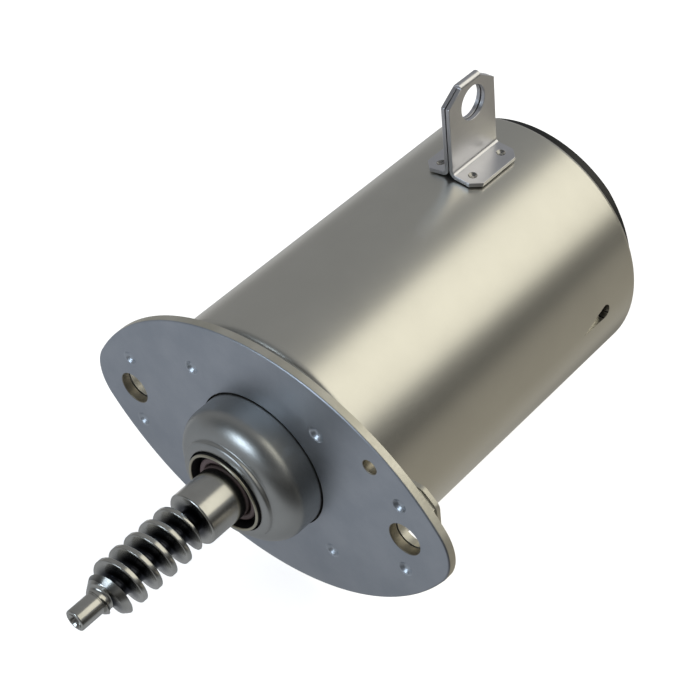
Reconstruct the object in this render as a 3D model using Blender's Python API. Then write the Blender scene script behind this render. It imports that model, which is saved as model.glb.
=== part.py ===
"""Variable valve lift motor: a flanged brushed motor whose worm turns an eccentric shaft.

Metres, +Z up. The motor axis runs along Y: the worm points to -Y, the black cap to +Y.
The motor lies on its can and on the flange's lower edge, with Z = 0 on the surface.
Places along the axis are counted from the flange's front face and grow towards the cap.
"""
from math import atan2, ceil, cos, pi, radians, sin, sqrt

import bmesh
import bpy
from mathutils import Matrix, Vector

# Clearances
FIT_GAP = 0.0003
CUT_OVERRUN = 0.0010
MERGE_DISTANCE = 0.000002

# Drawn steel can with its nose
CAN_RADIUS = 0.0330
CAN_WALL = 0.0020
CAN_LENGTH = 0.0930
CAN_SHOULDER = 0.0026
RIM_ROUND = 0.0016
NOSE_RADIUS = 0.0171
NOSE_WALL = 0.0028
NOSE_WALL_LENGTH = 0.00485
NOSE_SHOULDER_AXIAL = 0.00597
NOSE_FRONT_WALL = 0.0035
LIP_ROOT_SHARE = 0.742
LIP_WIDTH = 0.00156
LIP_RISE = 0.0010
GROOVE_DEPTH = 0.0012
VENT_LENGTH = 0.0090
VENT_WIDTH = 0.0036
VENT_DEPTH = 0.0016
VENT_FROM_RIM = 0.0213

# Flange plate
FLANGE_THICKNESS = 0.0021
EAR_STAND = 0.00607
EAR_RADIUS = 0.01224
EAR_HOLE_OFFSET = 0.00068
EAR_HOLE_RADIUS = 0.00394
FLANGE_EDGE_ROUND = 0.0005
SMALL_HOLE_INWARD = 0.00697
SMALL_HOLE_UP = 0.0164
SMALL_HOLE_RADIUS = 0.0017
PUNCH_RADIUS = 0.0017
PUNCH_FLOOR_RADIUS = 0.0008
PUNCH_DEPTH = 0.0008
EAR_PUNCH_UP = 0.00944
MID_PUNCH_ANGLE = 44.3

# Doubler plates behind the ears
EAR_PLATE_THICKNESS = 0.0017
EAR_PLATE_INWARD = 0.00825
EAR_PLATE_OUTWARD = 0.0067
EAR_PLATE_HALF_HEIGHT = 0.0140
EAR_PLATE_CORNER = 0.0034
EAR_PLATE_STEP = 0.0004
EAR_PLATE_STEP_DEPTH = 0.00065
EAR_PLATE_BORE = 0.0055

# Folded bracket on top
SHEET = 0.0010
FOLD_GAP = 0.0003
FOLD_RADIUS = 0.0010
BRACKET_WIDTH = 0.0163
BRACKET_FROM_RIM = 0.0105
TAB_RISE = 0.0224
TAB_CHAMFER_RISE = 0.0186
TAB_CHAMFER_ALONG = 0.0046
TAB_CHAMFER_UP = 0.0030
TAB_HOLE_RADIUS = 0.0042
TAB_HOLE_RISE = 0.0161
TAB_HOLE_BACK = 0.0004
FOOT_REACH = 0.0079
FOOT_CHAMFER = 0.0016
FOOT_BACK_CHAMFER = 0.0020
WELD_RADIUS = 0.0008
WELD_FLOOR_RADIUS = 0.0004
WELD_DEPTH = 0.0004
WELD_FROM_EDGE = 0.0029

# Shaft with its worm
JOURNAL_RADIUS = 0.00645
JOURNAL_LENGTH = 0.01468
JOURNAL_CHAMFER = 0.0005
WORM_RADIUS = 0.0062
WORM_ROOT_RADIUS = 0.0029
WORM_LENGTH = 0.0278
WORM_PITCH = 0.00429
WORM_STARTS = 1
WORM_CREST_ANGLE = 141.0
WORM_CREST_PLACE = 0.0042
WORM_RUNOUT = 0.0046
WORM_RELIEF = 0.0010
TOOTH_SHARES = [(0.0, 1.0), (0.125, 0.98), (0.17, 0.84), (0.29, 0.26), (0.38, 0.05), (0.45, 0.0)]
PIN_RADIUS = 0.00255
PIN_LENGTH = 0.0058
PIN_CHAMFER = 0.0003
CENTRE_HOLE_RADIUS = 0.0015
CENTRE_HOLE_DEPTH = 0.0012
SHAFT_RADIUS = 0.0057
REAR_JOURNAL_RADIUS = 0.0040

# Front ball bearing and its clip
BEARING_WIDTH = 0.0080
BALL_COUNT = 8
BALL_SHARE = 0.275
RING_SHARE = 0.23
CAGE_RIM = 0.0010
CLIP_THICKNESS = 0.0010
CLIP_WIDTH = 0.0021
CLIP_GROOVE = 0.0007

# Shaft seal
SEAL_CASE_WALL = 0.0007
SEAL_CASE_STAND = 0.0008
SEAL_CASE_FLANGE = 0.0018
SEAL_CASE_SECTION = 0.00325
SEAL_BODY_THICKNESS = 0.0009
SEAL_LIP_WIDTH = 0.0013
SEAL_LIP_LENGTH = 0.0014

# Armature
AIR_GAP = 0.0010
SLOT_COUNT = 12
SLOT_WIDTH = 0.0036
SLOT_MOUTH = 0.0020
SLOT_DEPTH_SHARE = 0.655
TOOTH_TIP = 0.0015
WINDING_FRONT_OVERHANG = 0.0095
WINDING_REAR_OVERHANG = 0.0080
WINDING_ROUND = 0.0020
WINDING_BORE = 0.0085
WINDING_CLEARANCE = 0.0061
COMMUTATOR_RADIUS = 0.0110
COMMUTATOR_MARGIN = 0.00175
RISER_HEIGHT = 0.0015
RISER_LENGTH = 0.0020
MICA_WIDTH = 0.0005
MICA_DEPTH = 0.0006

# Field magnets
MAGNET_THICKNESS = 0.0077
MAGNET_OVERHANG = 0.0060
MAGNET_HALF_ANGLE = 66.0

# Brush gear
BRUSH_WIDTH = 0.0054
BRUSH_THICKNESS = 0.0074
HOLDER_WALL = 0.0006
HOLDER_CLEARANCE = 0.0020
SPRING_LENGTH = 0.0045
SPRING_RADIUS = 0.0020
SPRING_WIRE = 0.00022
SPRING_TURNS = 4
BRUSH_PLATE_THICKNESS = 0.0023
BRUSH_PLATE_CLEARANCE = 0.0020
SCREW_RADIUS = 0.0013
SCREW_HEAD_RADIUS = 0.0026
SCREW_HEAD_HEIGHT = 0.0016
SCREW_DEPTH = 0.0050

# Rear bearing
REAR_BEARING_RADIUS = 0.0080
REAR_BEARING_LENGTH = 0.0076
REAR_BEARING_BULGE = 0.0006
RETAINER_THICKNESS = 0.0008
RETAINER_INSET = 0.0005

# Black cap with the socket
CAP_STAND = 0.0019
CAP_DEPTH = 0.00945
CAP_FLOOR = 0.0041
CAP_SKIRT_WALL = 0.0030
CAP_EDGE = 0.0006
CAP_BOSS_CLEARANCE = 0.0010
CAP_POCKET_FLOOR = 0.0016
CAP_RIM_RISE = 0.0020
CAP_RIM_WALL = 0.0025
CAP_RIM_FROM = 0.0
CAP_RIM_TO = 180.0
CAP_RIM_TAPER = 42.0
CAP_RIM_END_SHARE = 0.1
POST_RADIUS = 0.0040
SEAL_RING_WIRE = 0.0010
SEAL_RING_FROM_RIM = 0.0050
SOCKET_WIDTH = 0.0200
SOCKET_HEIGHT = 0.0130
SOCKET_WALL = 0.0015
SOCKET_LENGTH = 0.0127
SOCKET_DROP = 0.0130
TERMINAL_SPACING = 0.0080
TERMINAL_WIDTH = 0.0028
TERMINAL_SHEET = 0.0008
TERMINAL_SHORT = 0.0030

# Facets around a full turn
LARGE_ROUND = 48
MEDIUM_ROUND = 32
SMALL_ROUND = 20
TINY_ROUND = 12
WIRE_ROUND = 6

# Radii that follow from the sizes above
CAN_INNER = CAN_RADIUS - CAN_WALL
CAP_RADIUS = CAN_INNER - FIT_GAP
CAP_SKIRT_INNER = CAP_RADIUS - CAP_SKIRT_WALL - CAP_EDGE
BEARING_SEAT = NOSE_RADIUS - NOSE_WALL
BEARING_RADIUS = BEARING_SEAT - FIT_GAP
BEARING_BORE = SHAFT_RADIUS + FIT_GAP
PITCH_RADIUS = (BEARING_RADIUS + BEARING_BORE) / 2
BALL_RADIUS = (BEARING_RADIUS - BEARING_BORE) * BALL_SHARE
OUTER_RING_BORE = BEARING_RADIUS - (BEARING_RADIUS - BEARING_BORE) * RING_SHARE
INNER_RING_RADIUS = BEARING_BORE + (BEARING_RADIUS - BEARING_BORE) * RING_SHARE
SEAL_LIP_BORE = JOURNAL_RADIUS + FIT_GAP
SEAL_CASE_RADIUS = SEAL_LIP_BORE + SEAL_CASE_SECTION
SEAL_CASE_BORE = SEAL_CASE_RADIUS - SEAL_CASE_WALL
LIP_BORE = SEAL_CASE_RADIUS + FIT_GAP
LIP_ROOT = LIP_BORE + LIP_WIDTH
NOSE_SHOULDER_RADIAL = (NOSE_RADIUS - LIP_ROOT) / LIP_ROOT_SHARE
MAGNET_OUTER = CAN_INNER - FIT_GAP
MAGNET_INNER = MAGNET_OUTER - MAGNET_THICKNESS
CORE_RADIUS = MAGNET_INNER - AIR_GAP
SLOT_TOP = CORE_RADIUS - TOOTH_TIP
SLOT_FLOOR = SLOT_TOP - (SLOT_TOP - BEARING_BORE) * SLOT_DEPTH_SHARE
HOLDER_INNER = COMMUTATOR_RADIUS + RISER_HEIGHT + FIT_GAP
HOLDER_OUTER = CAN_INNER - HOLDER_CLEARANCE
SPRING_OUTER = HOLDER_OUTER - HOLDER_WALL - FIT_GAP
SPRING_INNER = SPRING_OUTER - SPRING_LENGTH
BRUSH_OUTER = SPRING_INNER - FIT_GAP
BRUSH_INNER = COMMUTATOR_RADIUS + FIT_GAP
BRUSH_PLATE_BORE = COMMUTATOR_RADIUS + BRUSH_PLATE_CLEARANCE
CAP_BOSS_RADIUS = BRUSH_PLATE_BORE - CAP_BOSS_CLEARANCE
RETAINER_RADIUS = CAP_BOSS_RADIUS - RETAINER_INSET
SCREW_X = (BRUSH_PLATE_BORE + CAP_SKIRT_INNER) / 2
EAR_CENTRE_X = CAN_RADIUS + EAR_STAND
EAR_HOLE_X = EAR_CENTRE_X + EAR_HOLE_OFFSET
EAR_PLATE_INNER = EAR_HOLE_X - EAR_PLATE_INWARD
EAR_PLATE_OUTER = EAR_HOLE_X + EAR_PLATE_OUTWARD
MID_PUNCH_RADIUS = (NOSE_RADIUS + CAN_RADIUS) / 2

# Places along the axis, from the flange's front face
CAN_FRONT = FLANGE_THICKNESS + FIT_GAP
CAN_END = CAN_FRONT + CAN_LENGTH
NOSE_FRONT = -(NOSE_WALL_LENGTH + NOSE_SHOULDER_AXIAL)
LIP_FRONT = NOSE_FRONT - LIP_RISE
BEARING_STEP = NOSE_FRONT + NOSE_FRONT_WALL
BEARING_FRONT = BEARING_STEP + FIT_GAP
BEARING_BACK = BEARING_FRONT + BEARING_WIDTH
BALL_PLACE = (BEARING_FRONT + BEARING_BACK) / 2
CLIP_FRONT = BEARING_BACK + FIT_GAP
CLIP_BACK = CLIP_FRONT + CLIP_THICKNESS
JOURNAL_FRONT = BEARING_STEP - JOURNAL_LENGTH
WORM_FRONT = JOURNAL_FRONT - WORM_LENGTH
TIP = WORM_FRONT - PIN_LENGTH
BRACKET_END = CAN_END - BRACKET_FROM_RIM
BRACKET_START = BRACKET_END - BRACKET_WIDTH
CAP_FRONT = CAN_END - CAP_DEPTH
CAP_BACK = CAN_END + CAP_STAND
CAP_INNER_FLOOR = CAP_BACK - CAP_FLOOR
POCKET_END = CAP_BACK - CAP_POCKET_FLOOR
REAR_BEARING_END = POCKET_END - FIT_GAP
REAR_BEARING_FRONT = REAR_BEARING_END - REAR_BEARING_LENGTH
BOSS_FRONT = REAR_BEARING_FRONT - FIT_GAP
SEAL_RING_PLACE = CAN_END - SEAL_RING_FROM_RIM
SOCKET_END = CAP_BACK + SOCKET_LENGTH
HOLDER_HALF_ALONG = BRUSH_THICKNESS / 2 + FIT_GAP + HOLDER_WALL
HOLDER_HALF_ACROSS = BRUSH_WIDTH / 2 + FIT_GAP + HOLDER_WALL
BRUSH_PLATE_BACK = CAP_FRONT - FIT_GAP
BRUSH_PLATE_FRONT = BRUSH_PLATE_BACK - BRUSH_PLATE_THICKNESS
BRUSH_PLACE = BRUSH_PLATE_FRONT - FIT_GAP - HOLDER_HALF_ALONG
COMMUTATOR_END = BRUSH_PLACE + BRUSH_THICKNESS / 2 + COMMUTATOR_MARGIN
COMMUTATOR_START = BRUSH_PLACE - BRUSH_THICKNESS / 2 - COMMUTATOR_MARGIN - RISER_LENGTH
WINDING_END = COMMUTATOR_START - FIT_GAP
CORE_END = WINDING_END - WINDING_REAR_OVERHANG
WINDING_FRONT = CAN_FRONT + CAN_WALL + WINDING_CLEARANCE
CORE_START = WINDING_FRONT + WINDING_FRONT_OVERHANG
MAGNET_START = CORE_START - MAGNET_OVERHANG
MAGNET_END = CORE_END + MAGNET_OVERHANG

# The part's box is centred on Y = 0 and stands on Z = 0
FACE_Y = (-TIP - SOCKET_END) / 2
AXIS_POINT = Vector((0, FACE_Y, CAN_RADIUS))


def clear_scene():
    for item in list(bpy.data.objects):
        bpy.data.objects.remove(item, do_unlink=True)


def make_material(name, colour, metallic, roughness):
    material = bpy.data.materials.new(name)
    material.use_nodes = True
    shader = material.node_tree.nodes["Principled BSDF"]
    shader.inputs["Base Color"].default_value = (*colour, 1)
    shader.inputs["Metallic"].default_value = metallic
    shader.inputs["Roughness"].default_value = roughness
    return material


def make_materials():
    return {
        "can_steel": make_material("can_steel", (0.47, 0.46, 0.42), 1, 0.34),
        "plate_zinc": make_material("plate_zinc", (0.36, 0.38, 0.42), 1, 0.38),
        "bracket_zinc": make_material("bracket_zinc", (0.55, 0.54, 0.49), 1, 0.36),
        "ground_steel": make_material("ground_steel", (0.60, 0.59, 0.55), 1, 0.18),
        "bearing_steel": make_material("bearing_steel", (0.58, 0.58, 0.58), 1, 0.15),
        "seal_brown": make_material("seal_brown", (0.22, 0.14, 0.12), 0, 0.55),
        "rubber": make_material("rubber", (0.02, 0.02, 0.02), 0, 0.7),
        "laminations": make_material("laminations", (0.20, 0.20, 0.21), 1, 0.5),
        "copper": make_material("copper", (0.70, 0.30, 0.15), 1, 0.35),
        "ferrite": make_material("ferrite", (0.05, 0.05, 0.055), 0, 0.6),
        "carbon": make_material("carbon", (0.03, 0.03, 0.03), 0, 0.6),
        "brass": make_material("brass", (0.70, 0.52, 0.22), 1, 0.3),
        "black_plastic": make_material("black_plastic", (0.015, 0.015, 0.016), 0, 0.45),
    }


def finish(name, bm, material, at=AXIS_POINT, smooth=30.0):
    """Turn a bmesh into a named object with merged corners and faces that point out."""
    bmesh.ops.remove_doubles(bm, verts=bm.verts, dist=MERGE_DISTANCE)
    bmesh.ops.recalc_face_normals(bm, faces=bm.faces)
    mesh = bpy.data.meshes.new(name)
    bm.to_mesh(mesh)
    bm.free()
    mesh.materials.append(material)
    mesh.shade_smooth()
    mesh.set_sharp_from_angle(angle=radians(smooth))
    item = bpy.data.objects.new(name, mesh)
    item.location = at
    bpy.context.scene.collection.objects.link(item)
    return item


def combine(target, tool, operation):
    """Cut, join or intersect the target with a tool that isn't part of the model."""
    tool.hide_render = True
    tool.display_type = "WIRE"
    modifier = target.modifiers.new(tool.name, "BOOLEAN")
    modifier.operation = operation
    modifier.object = tool
    modifier.solver = "EXACT"


def arc(centre_x, centre_y, radius_x, radius_y, start, end, steps):
    """Points of an elliptical arc, both ends included, angles in degrees."""
    angles = [radians(start + (end - start) * step / steps) for step in range(steps + 1)]
    return [(centre_x + radius_x * cos(a), centre_y + radius_y * sin(a)) for a in angles]


def spin_profile(bm, profile, segments, centre=(0, 0)):
    """Turn (radius, place) points about the Y axis, or about a parallel axis at centre."""
    before = len(bm.verts)
    verts = [bm.verts.new((0, place, radius)) for radius, place in profile]
    edges = [bm.edges.new((verts[i - 1], verts[i])) for i in range(len(verts))
             if profile[i - 1][0] or profile[i][0]]
    bmesh.ops.spin(
        bm, geom=verts + edges, cent=(0, 0, 0), axis=(0, 1, 0), dvec=(0, 0, 0),
        angle=2 * pi, steps=segments, use_merge=True, use_duplicate=False)
    bm.verts.ensure_lookup_table()
    bmesh.ops.translate(bm, verts=bm.verts[before:], vec=(centre[0], 0, centre[1]))


def turned(name, profile, material, segments=MEDIUM_ROUND, centre=(0, 0)):
    bm = bmesh.new()
    spin_profile(bm, profile, segments, centre)
    return finish(name, bm, material)


def ring_profile(inner, outer, start, end):
    return [(inner, start), (outer, start), (outer, end), (inner, end)]


def extrude_outline(bm, outline, start, end):
    """Extrude a closed (x, z) outline along Y."""
    base = bm.faces.new([bm.verts.new((x, start, z)) for x, z in outline])
    grown = bmesh.ops.extrude_face_region(bm, geom=[base])
    moved = [item for item in grown["geom"] if isinstance(item, bmesh.types.BMVert)]
    bmesh.ops.translate(bm, verts=moved, vec=(0, end - start, 0))


def add_cylinder(bm, centre, radius, start, end, segments, end_radius=None):
    """Add a cylinder or cone along Y, with its axis at centre (x, z)."""
    place = Matrix.Translation((centre[0], (start + end) / 2, centre[1]))
    tilt = Matrix.Rotation(-pi / 2, 4, "X")
    bmesh.ops.create_cone(
        bm, cap_ends=True, segments=segments, radius1=radius,
        radius2=radius if end_radius is None else end_radius,
        depth=end - start, matrix=place @ tilt)


def add_box(bm, low, high):
    size = Vector(high) - Vector(low)
    middle = (Vector(high) + Vector(low)) / 2
    place = Matrix.Translation(middle) @ Matrix.Diagonal((*size, 1))
    bmesh.ops.create_cube(bm, size=1, matrix=place)


def nose_shoulder_point(angle):
    """A point of the nose's rounded shoulder, from the straight wall at 0 degrees."""
    radius = NOSE_RADIUS - NOSE_SHOULDER_RADIAL * (1 - cos(radians(angle)))
    return radius, -NOSE_WALL_LENGTH - NOSE_SHOULDER_AXIAL * sin(radians(angle))


def can_profile():
    """Section of the can and its nose, the outside first, from the front lip to the rim."""
    lip = arc(LIP_BORE, NOSE_FRONT + GROOVE_DEPTH, LIP_WIDTH, LIP_RISE + GROOVE_DEPTH, -90, 0, 4)
    groove_end = nose_shoulder_point(70)
    shoulder = [nose_shoulder_point(angle) for angle in (60, 45, 30, 15, 0)]
    front = arc(CAN_RADIUS - CAN_SHOULDER, CAN_FRONT + CAN_SHOULDER,
                CAN_SHOULDER, CAN_SHOULDER, -90, 0, 4)
    rim = arc(CAN_RADIUS - RIM_ROUND, CAN_END - RIM_ROUND, RIM_ROUND, RIM_ROUND, 0, 90, 3)
    inner_front = CAN_FRONT + CAN_WALL
    groove_radius = BEARING_SEAT + CLIP_GROOVE
    inside = [
        (CAN_INNER, CAN_END),
        (CAN_INNER, inner_front),
        (BEARING_SEAT, inner_front),
        (BEARING_SEAT, CLIP_BACK + FIT_GAP),
        (groove_radius, CLIP_BACK + FIT_GAP),
        (groove_radius, BEARING_BACK),
        (BEARING_SEAT, BEARING_BACK),
        (BEARING_SEAT, BEARING_STEP),
        (LIP_BORE, BEARING_STEP),
    ]
    wall_foot = [(NOSE_RADIUS, CAN_FRONT)]
    return lip + [groove_end] + shoulder + wall_foot + front + rim + inside


def make_can(materials):
    can = turned("motor_can", can_profile(), materials["can_steel"], LARGE_ROUND)
    combine(can, vent_cutter(materials["can_steel"]), "DIFFERENCE")
    return can


def vent_cutter(material):
    """A drop-shaped dent on the can's right side that deepens towards the rim."""
    bm = bmesh.new()
    front = CAN_END - VENT_FROM_RIM
    tip = bm.verts.new((CAN_RADIUS, front, -VENT_WIDTH / 2))
    outside = CAN_RADIUS + CUT_OVERRUN
    inside = CAN_RADIUS - VENT_DEPTH
    half = VENT_WIDTH / 2
    back = arc(front + VENT_LENGTH - half, 0, half, half, -90, 90, 5)
    upper = [bm.verts.new((outside, y, z)) for y, z in back]
    lower = [bm.verts.new((inside, y, z)) for y, z in back]
    lift = bm.verts.new((outside, front, -VENT_WIDTH / 2))
    bm.faces.new([lift] + upper)
    bm.faces.new([tip] + lower)
    for left, right in zip(range(len(back) - 1), range(1, len(back))):
        bm.faces.new([upper[left], upper[right], lower[right], lower[left]])
    bm.faces.new([lift, upper[0], lower[0], tip])
    bm.faces.new([tip, lower[-1], upper[-1], lift])
    bmesh.ops.triangulate(bm, faces=bm.faces)
    return finish("vent_cutter", bm, material)


def flange_outline():
    """Lens outline: two large arcs that meet the round ears without a corner."""
    arc_radius = (EAR_CENTRE_X ** 2 + CAN_RADIUS ** 2 - EAR_RADIUS ** 2) / (
        2 * (CAN_RADIUS - EAR_RADIUS))
    drop = arc_radius - CAN_RADIUS
    join = atan2(drop, EAR_CENTRE_X) * 180 / pi
    top = arc(0, -drop, arc_radius, arc_radius, join, 180 - join, 14)
    left = arc(-EAR_CENTRE_X, 0, EAR_RADIUS, EAR_RADIUS, 180 - join, 180 + join, 8)
    bottom = arc(0, drop, arc_radius, arc_radius, 180 + join, 360 - join, 14)
    right = arc(EAR_CENTRE_X, 0, EAR_RADIUS, EAR_RADIUS, -join, join, 8)
    return top[:-1] + left[:-1] + bottom[:-1] + right[:-1]


def punch_marks():
    marks = []
    for side in (-1, 1):
        for level in (-1, 1):
            marks.append((side * EAR_CENTRE_X, level * EAR_PUNCH_UP))
            marks.append((side * MID_PUNCH_RADIUS * cos(radians(MID_PUNCH_ANGLE)),
                          level * MID_PUNCH_RADIUS * sin(radians(MID_PUNCH_ANGLE))))
    return marks


def make_flange(materials):
    bm = bmesh.new()
    extrude_outline(bm, flange_outline(), 0, FLANGE_THICKNESS)
    front_edges = [edge for edge in bm.edges if all(vert.co.y == 0 for vert in edge.verts)]
    bmesh.ops.bevel(bm, geom=front_edges, offset=FLANGE_EDGE_ROUND, segments=1,
                    affect="EDGES", profile=0.5, material=-1)
    flange = finish("flange_plate", bm, materials["plate_zinc"])

    cuts = bmesh.new()
    through = (-CUT_OVERRUN, FLANGE_THICKNESS + CUT_OVERRUN)
    spin_profile(cuts, [(0, through[0]), (NOSE_RADIUS + FIT_GAP, through[0]),
                        (NOSE_RADIUS + FIT_GAP, through[1]), (0, through[1])], LARGE_ROUND)
    for side in (-1, 1):
        add_cylinder(cuts, (side * EAR_HOLE_X, 0), EAR_HOLE_RADIUS, *through, SMALL_ROUND)
    add_cylinder(cuts, (EAR_CENTRE_X - SMALL_HOLE_INWARD, SMALL_HOLE_UP), SMALL_HOLE_RADIUS,
                 *through, TINY_ROUND)
    for mark in punch_marks():
        flare = 2 * PUNCH_RADIUS - PUNCH_FLOOR_RADIUS
        add_cylinder(cuts, mark, flare, -PUNCH_DEPTH, PUNCH_DEPTH, TINY_ROUND,
                     PUNCH_FLOOR_RADIUS)
    combine(flange, finish("flange_cutter", cuts, materials["plate_zinc"]), "DIFFERENCE")


def ear_plate_outline(inset):
    """Outline of a doubler plate on the right: tall, with its outer corners cut off."""
    outer = EAR_PLATE_OUTER - inset
    half = EAR_PLATE_HALF_HEIGHT - inset
    inner = EAR_PLATE_INNER + inset
    return [(inner, -half), (outer - EAR_PLATE_CORNER, -half), (outer, EAR_PLATE_CORNER - half),
            (outer, half - EAR_PLATE_CORNER), (outer - EAR_PLATE_CORNER, half), (inner, half)]


def make_ear_plates(materials):
    """Plates behind the ears, cut back where the can passes them."""
    zinc = materials["plate_zinc"]
    start = FLANGE_THICKNESS + FIT_GAP
    step = start + EAR_PLATE_STEP_DEPTH
    end = start + EAR_PLATE_THICKNESS
    for name, side in (("ear_plate_left", -1), ("ear_plate_right", 1)):
        bm = bmesh.new()
        extrude_outline(bm, [(side * x, z) for x, z in ear_plate_outline(0)], step, end)
        plate = finish(name, bm, zinc)
        layer = bmesh.new()
        overlap = step + EAR_PLATE_STEP
        extrude_outline(layer, [(side * x, z) for x, z in ear_plate_outline(EAR_PLATE_STEP)],
                        start, overlap)
        combine(plate, finish(f"{name}_layer", layer, zinc), "UNION")
        clear = CAN_RADIUS + FIT_GAP
        cuts = bmesh.new()
        spin_profile(cuts, [(0, -CUT_OVERRUN), (clear, -CUT_OVERRUN),
                            (clear, end + CUT_OVERRUN), (0, end + CUT_OVERRUN)], LARGE_ROUND)
        combine(plate, finish(f"{name}_cutter", cuts, zinc), "DIFFERENCE")
        bore = bmesh.new()
        spin_profile(bore, [(0, -CUT_OVERRUN), (EAR_HOLE_RADIUS, -CUT_OVERRUN),
                            (EAR_HOLE_RADIUS, step), (EAR_PLATE_BORE, step),
                            (EAR_PLATE_BORE, end + CUT_OVERRUN), (0, end + CUT_OVERRUN)],
                     SMALL_ROUND, (side * EAR_HOLE_X, 0))
        combine(plate, finish(f"{name}_bore", bore, zinc), "DIFFERENCE")


def foot_tilt():
    """Angle from the top at which the middle of a foot touches the can."""
    middle = (FOOT_REACH + FOLD_GAP) / 2
    return atan2(middle, CAN_RADIUS)


def strip_outline(path, thickness):
    """Closed outline of a strip of sheet that follows a path of (x, z) points."""
    points = [Vector(point) for point in path]
    left, right = [], []
    for i, point in enumerate(points):
        before = (point - points[i - 1]).normalized() if i else None
        after = (points[i + 1] - point).normalized() if i + 1 < len(points) else None
        before = after if before is None else before
        after = before if after is None else after
        tangent = (before + after).normalized()
        normal = Vector((-tangent.y, tangent.x))
        reach = thickness / 2 / max(0.5, normal.dot(Vector((-before.y, before.x))))
        left.append(point + normal * reach)
        right.append(point - normal * reach)
    return [tuple(p) for p in left + right[::-1]]


def bracket_path():
    """Middle line of the folded strip: right foot, tab, hairpin fold, tab, left foot."""
    leg = (FOLD_GAP + SHEET) / 2
    bend = FOLD_RADIUS + SHEET / 2
    tilt = foot_tilt()
    level = CAN_RADIUS + FIT_GAP + SHEET / 2
    bend_x = leg + bend
    bend_z = (level + bend - sin(tilt) * bend_x) / cos(tilt)
    bend_arc = arc(bend_x, bend_z, bend, bend, 270 - tilt * 180 / pi, 180, 4)
    touch = bend_arc[0]
    run = (FOOT_REACH - touch[0]) / cos(tilt)
    foot_end = (FOOT_REACH, touch[1] - run * sin(tilt))
    fold_z = CAN_RADIUS + TAB_RISE - SHEET / 2 - leg
    right = [foot_end] + bend_arc + [(leg, fold_z)]
    fold = arc(0, fold_z, leg, leg, 0, 180, 6)[1:-1]
    left = [(-x, z) for x, z in reversed(right)]
    return right + fold + left


def make_bracket(materials):
    start, end = BRACKET_START, BRACKET_END
    bm = bmesh.new()
    extrude_outline(bm, strip_outline(bracket_path(), SHEET), start, end)
    bracket = finish("top_bracket", bm, materials["bracket_zinc"])

    cuts = bmesh.new()
    half = FOLD_GAP + SHEET + CUT_OVERRUN
    top = CAN_RADIUS + TAB_RISE
    for corner, inward in ((start, 1), (end, -1)):
        over = -inward * CUT_OVERRUN
        slope = TAB_CHAMFER_UP / TAB_CHAMFER_ALONG
        foot = CAN_RADIUS + TAB_CHAMFER_RISE
        crown = corner + inward * TAB_CHAMFER_ALONG
        wedge = [
            (corner + over, foot - CUT_OVERRUN * slope),
            (crown, foot + TAB_CHAMFER_UP),
            (crown, top + CUT_OVERRUN),
            (corner + over, top + CUT_OVERRUN),
        ]
        add_side_prism(cuts, wedge, -half, half)
    hole_place = (start + end) / 2 + TAB_HOLE_BACK
    turn = Matrix.Translation((0, hole_place, CAN_RADIUS + TAB_HOLE_RISE))
    turn = turn @ Matrix.Rotation(pi / 2, 4, "Y")
    bmesh.ops.create_cone(cuts, cap_ends=True, segments=SMALL_ROUND, radius1=TAB_HOLE_RADIUS,
                          radius2=TAB_HOLE_RADIUS, depth=2 * half, matrix=turn)
    tilt = foot_tilt()
    for side in (-1, 1):
        for corner, inward, chamfer in ((start, 1, FOOT_CHAMFER), (end, -1, FOOT_BACK_CHAMFER)):
            add_corner_prism(cuts, side, corner, inward, chamfer)
            along = corner + inward * WELD_FROM_EDGE
            across = (FOLD_GAP / 2 + SHEET + FOOT_REACH) / 2
            level = (CAN_RADIUS + FIT_GAP + SHEET - across * sin(tilt)) / cos(tilt)
            place = Matrix.Translation((side * across, along, level))
            lean = Matrix.Rotation(side * tilt, 4, "Y")
            bmesh.ops.create_cone(cuts, cap_ends=True, segments=TINY_ROUND,
                                  radius1=WELD_FLOOR_RADIUS,
                                  radius2=2 * WELD_RADIUS - WELD_FLOOR_RADIUS,
                                  depth=2 * WELD_DEPTH, matrix=place @ lean)
    combine(bracket, finish("bracket_cutter", cuts, materials["bracket_zinc"]), "DIFFERENCE")


def add_side_prism(bm, outline, start, end):
    """Extrude a closed (y, z) outline along X."""
    base = bm.faces.new([bm.verts.new((start, y, z)) for y, z in outline])
    grown = bmesh.ops.extrude_face_region(bm, geom=[base])
    moved = [item for item in grown["geom"] if isinstance(item, bmesh.types.BMVert)]
    bmesh.ops.translate(bm, verts=moved, vec=(end - start, 0, 0))


def add_corner_prism(bm, side, corner, inward, chamfer):
    """An upright wedge that takes a foot's outer corner off."""
    reach = chamfer + CUT_OVERRUN
    edge = side * (FOOT_REACH + CUT_OVERRUN)
    outline = [
        (edge, corner - inward * CUT_OVERRUN),
        (edge - side * (reach + CUT_OVERRUN), corner - inward * CUT_OVERRUN),
        (edge, corner + inward * reach),
    ]
    low, high = CAN_RADIUS - FOOT_REACH, CAN_RADIUS + FOOT_REACH
    base = bm.faces.new([bm.verts.new((x, y, low)) for x, y in outline])
    grown = bmesh.ops.extrude_face_region(bm, geom=[base])
    moved = [item for item in grown["geom"] if isinstance(item, bmesh.types.BMVert)]
    bmesh.ops.translate(bm, verts=moved, vec=(0, 0, high - low))


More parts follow.
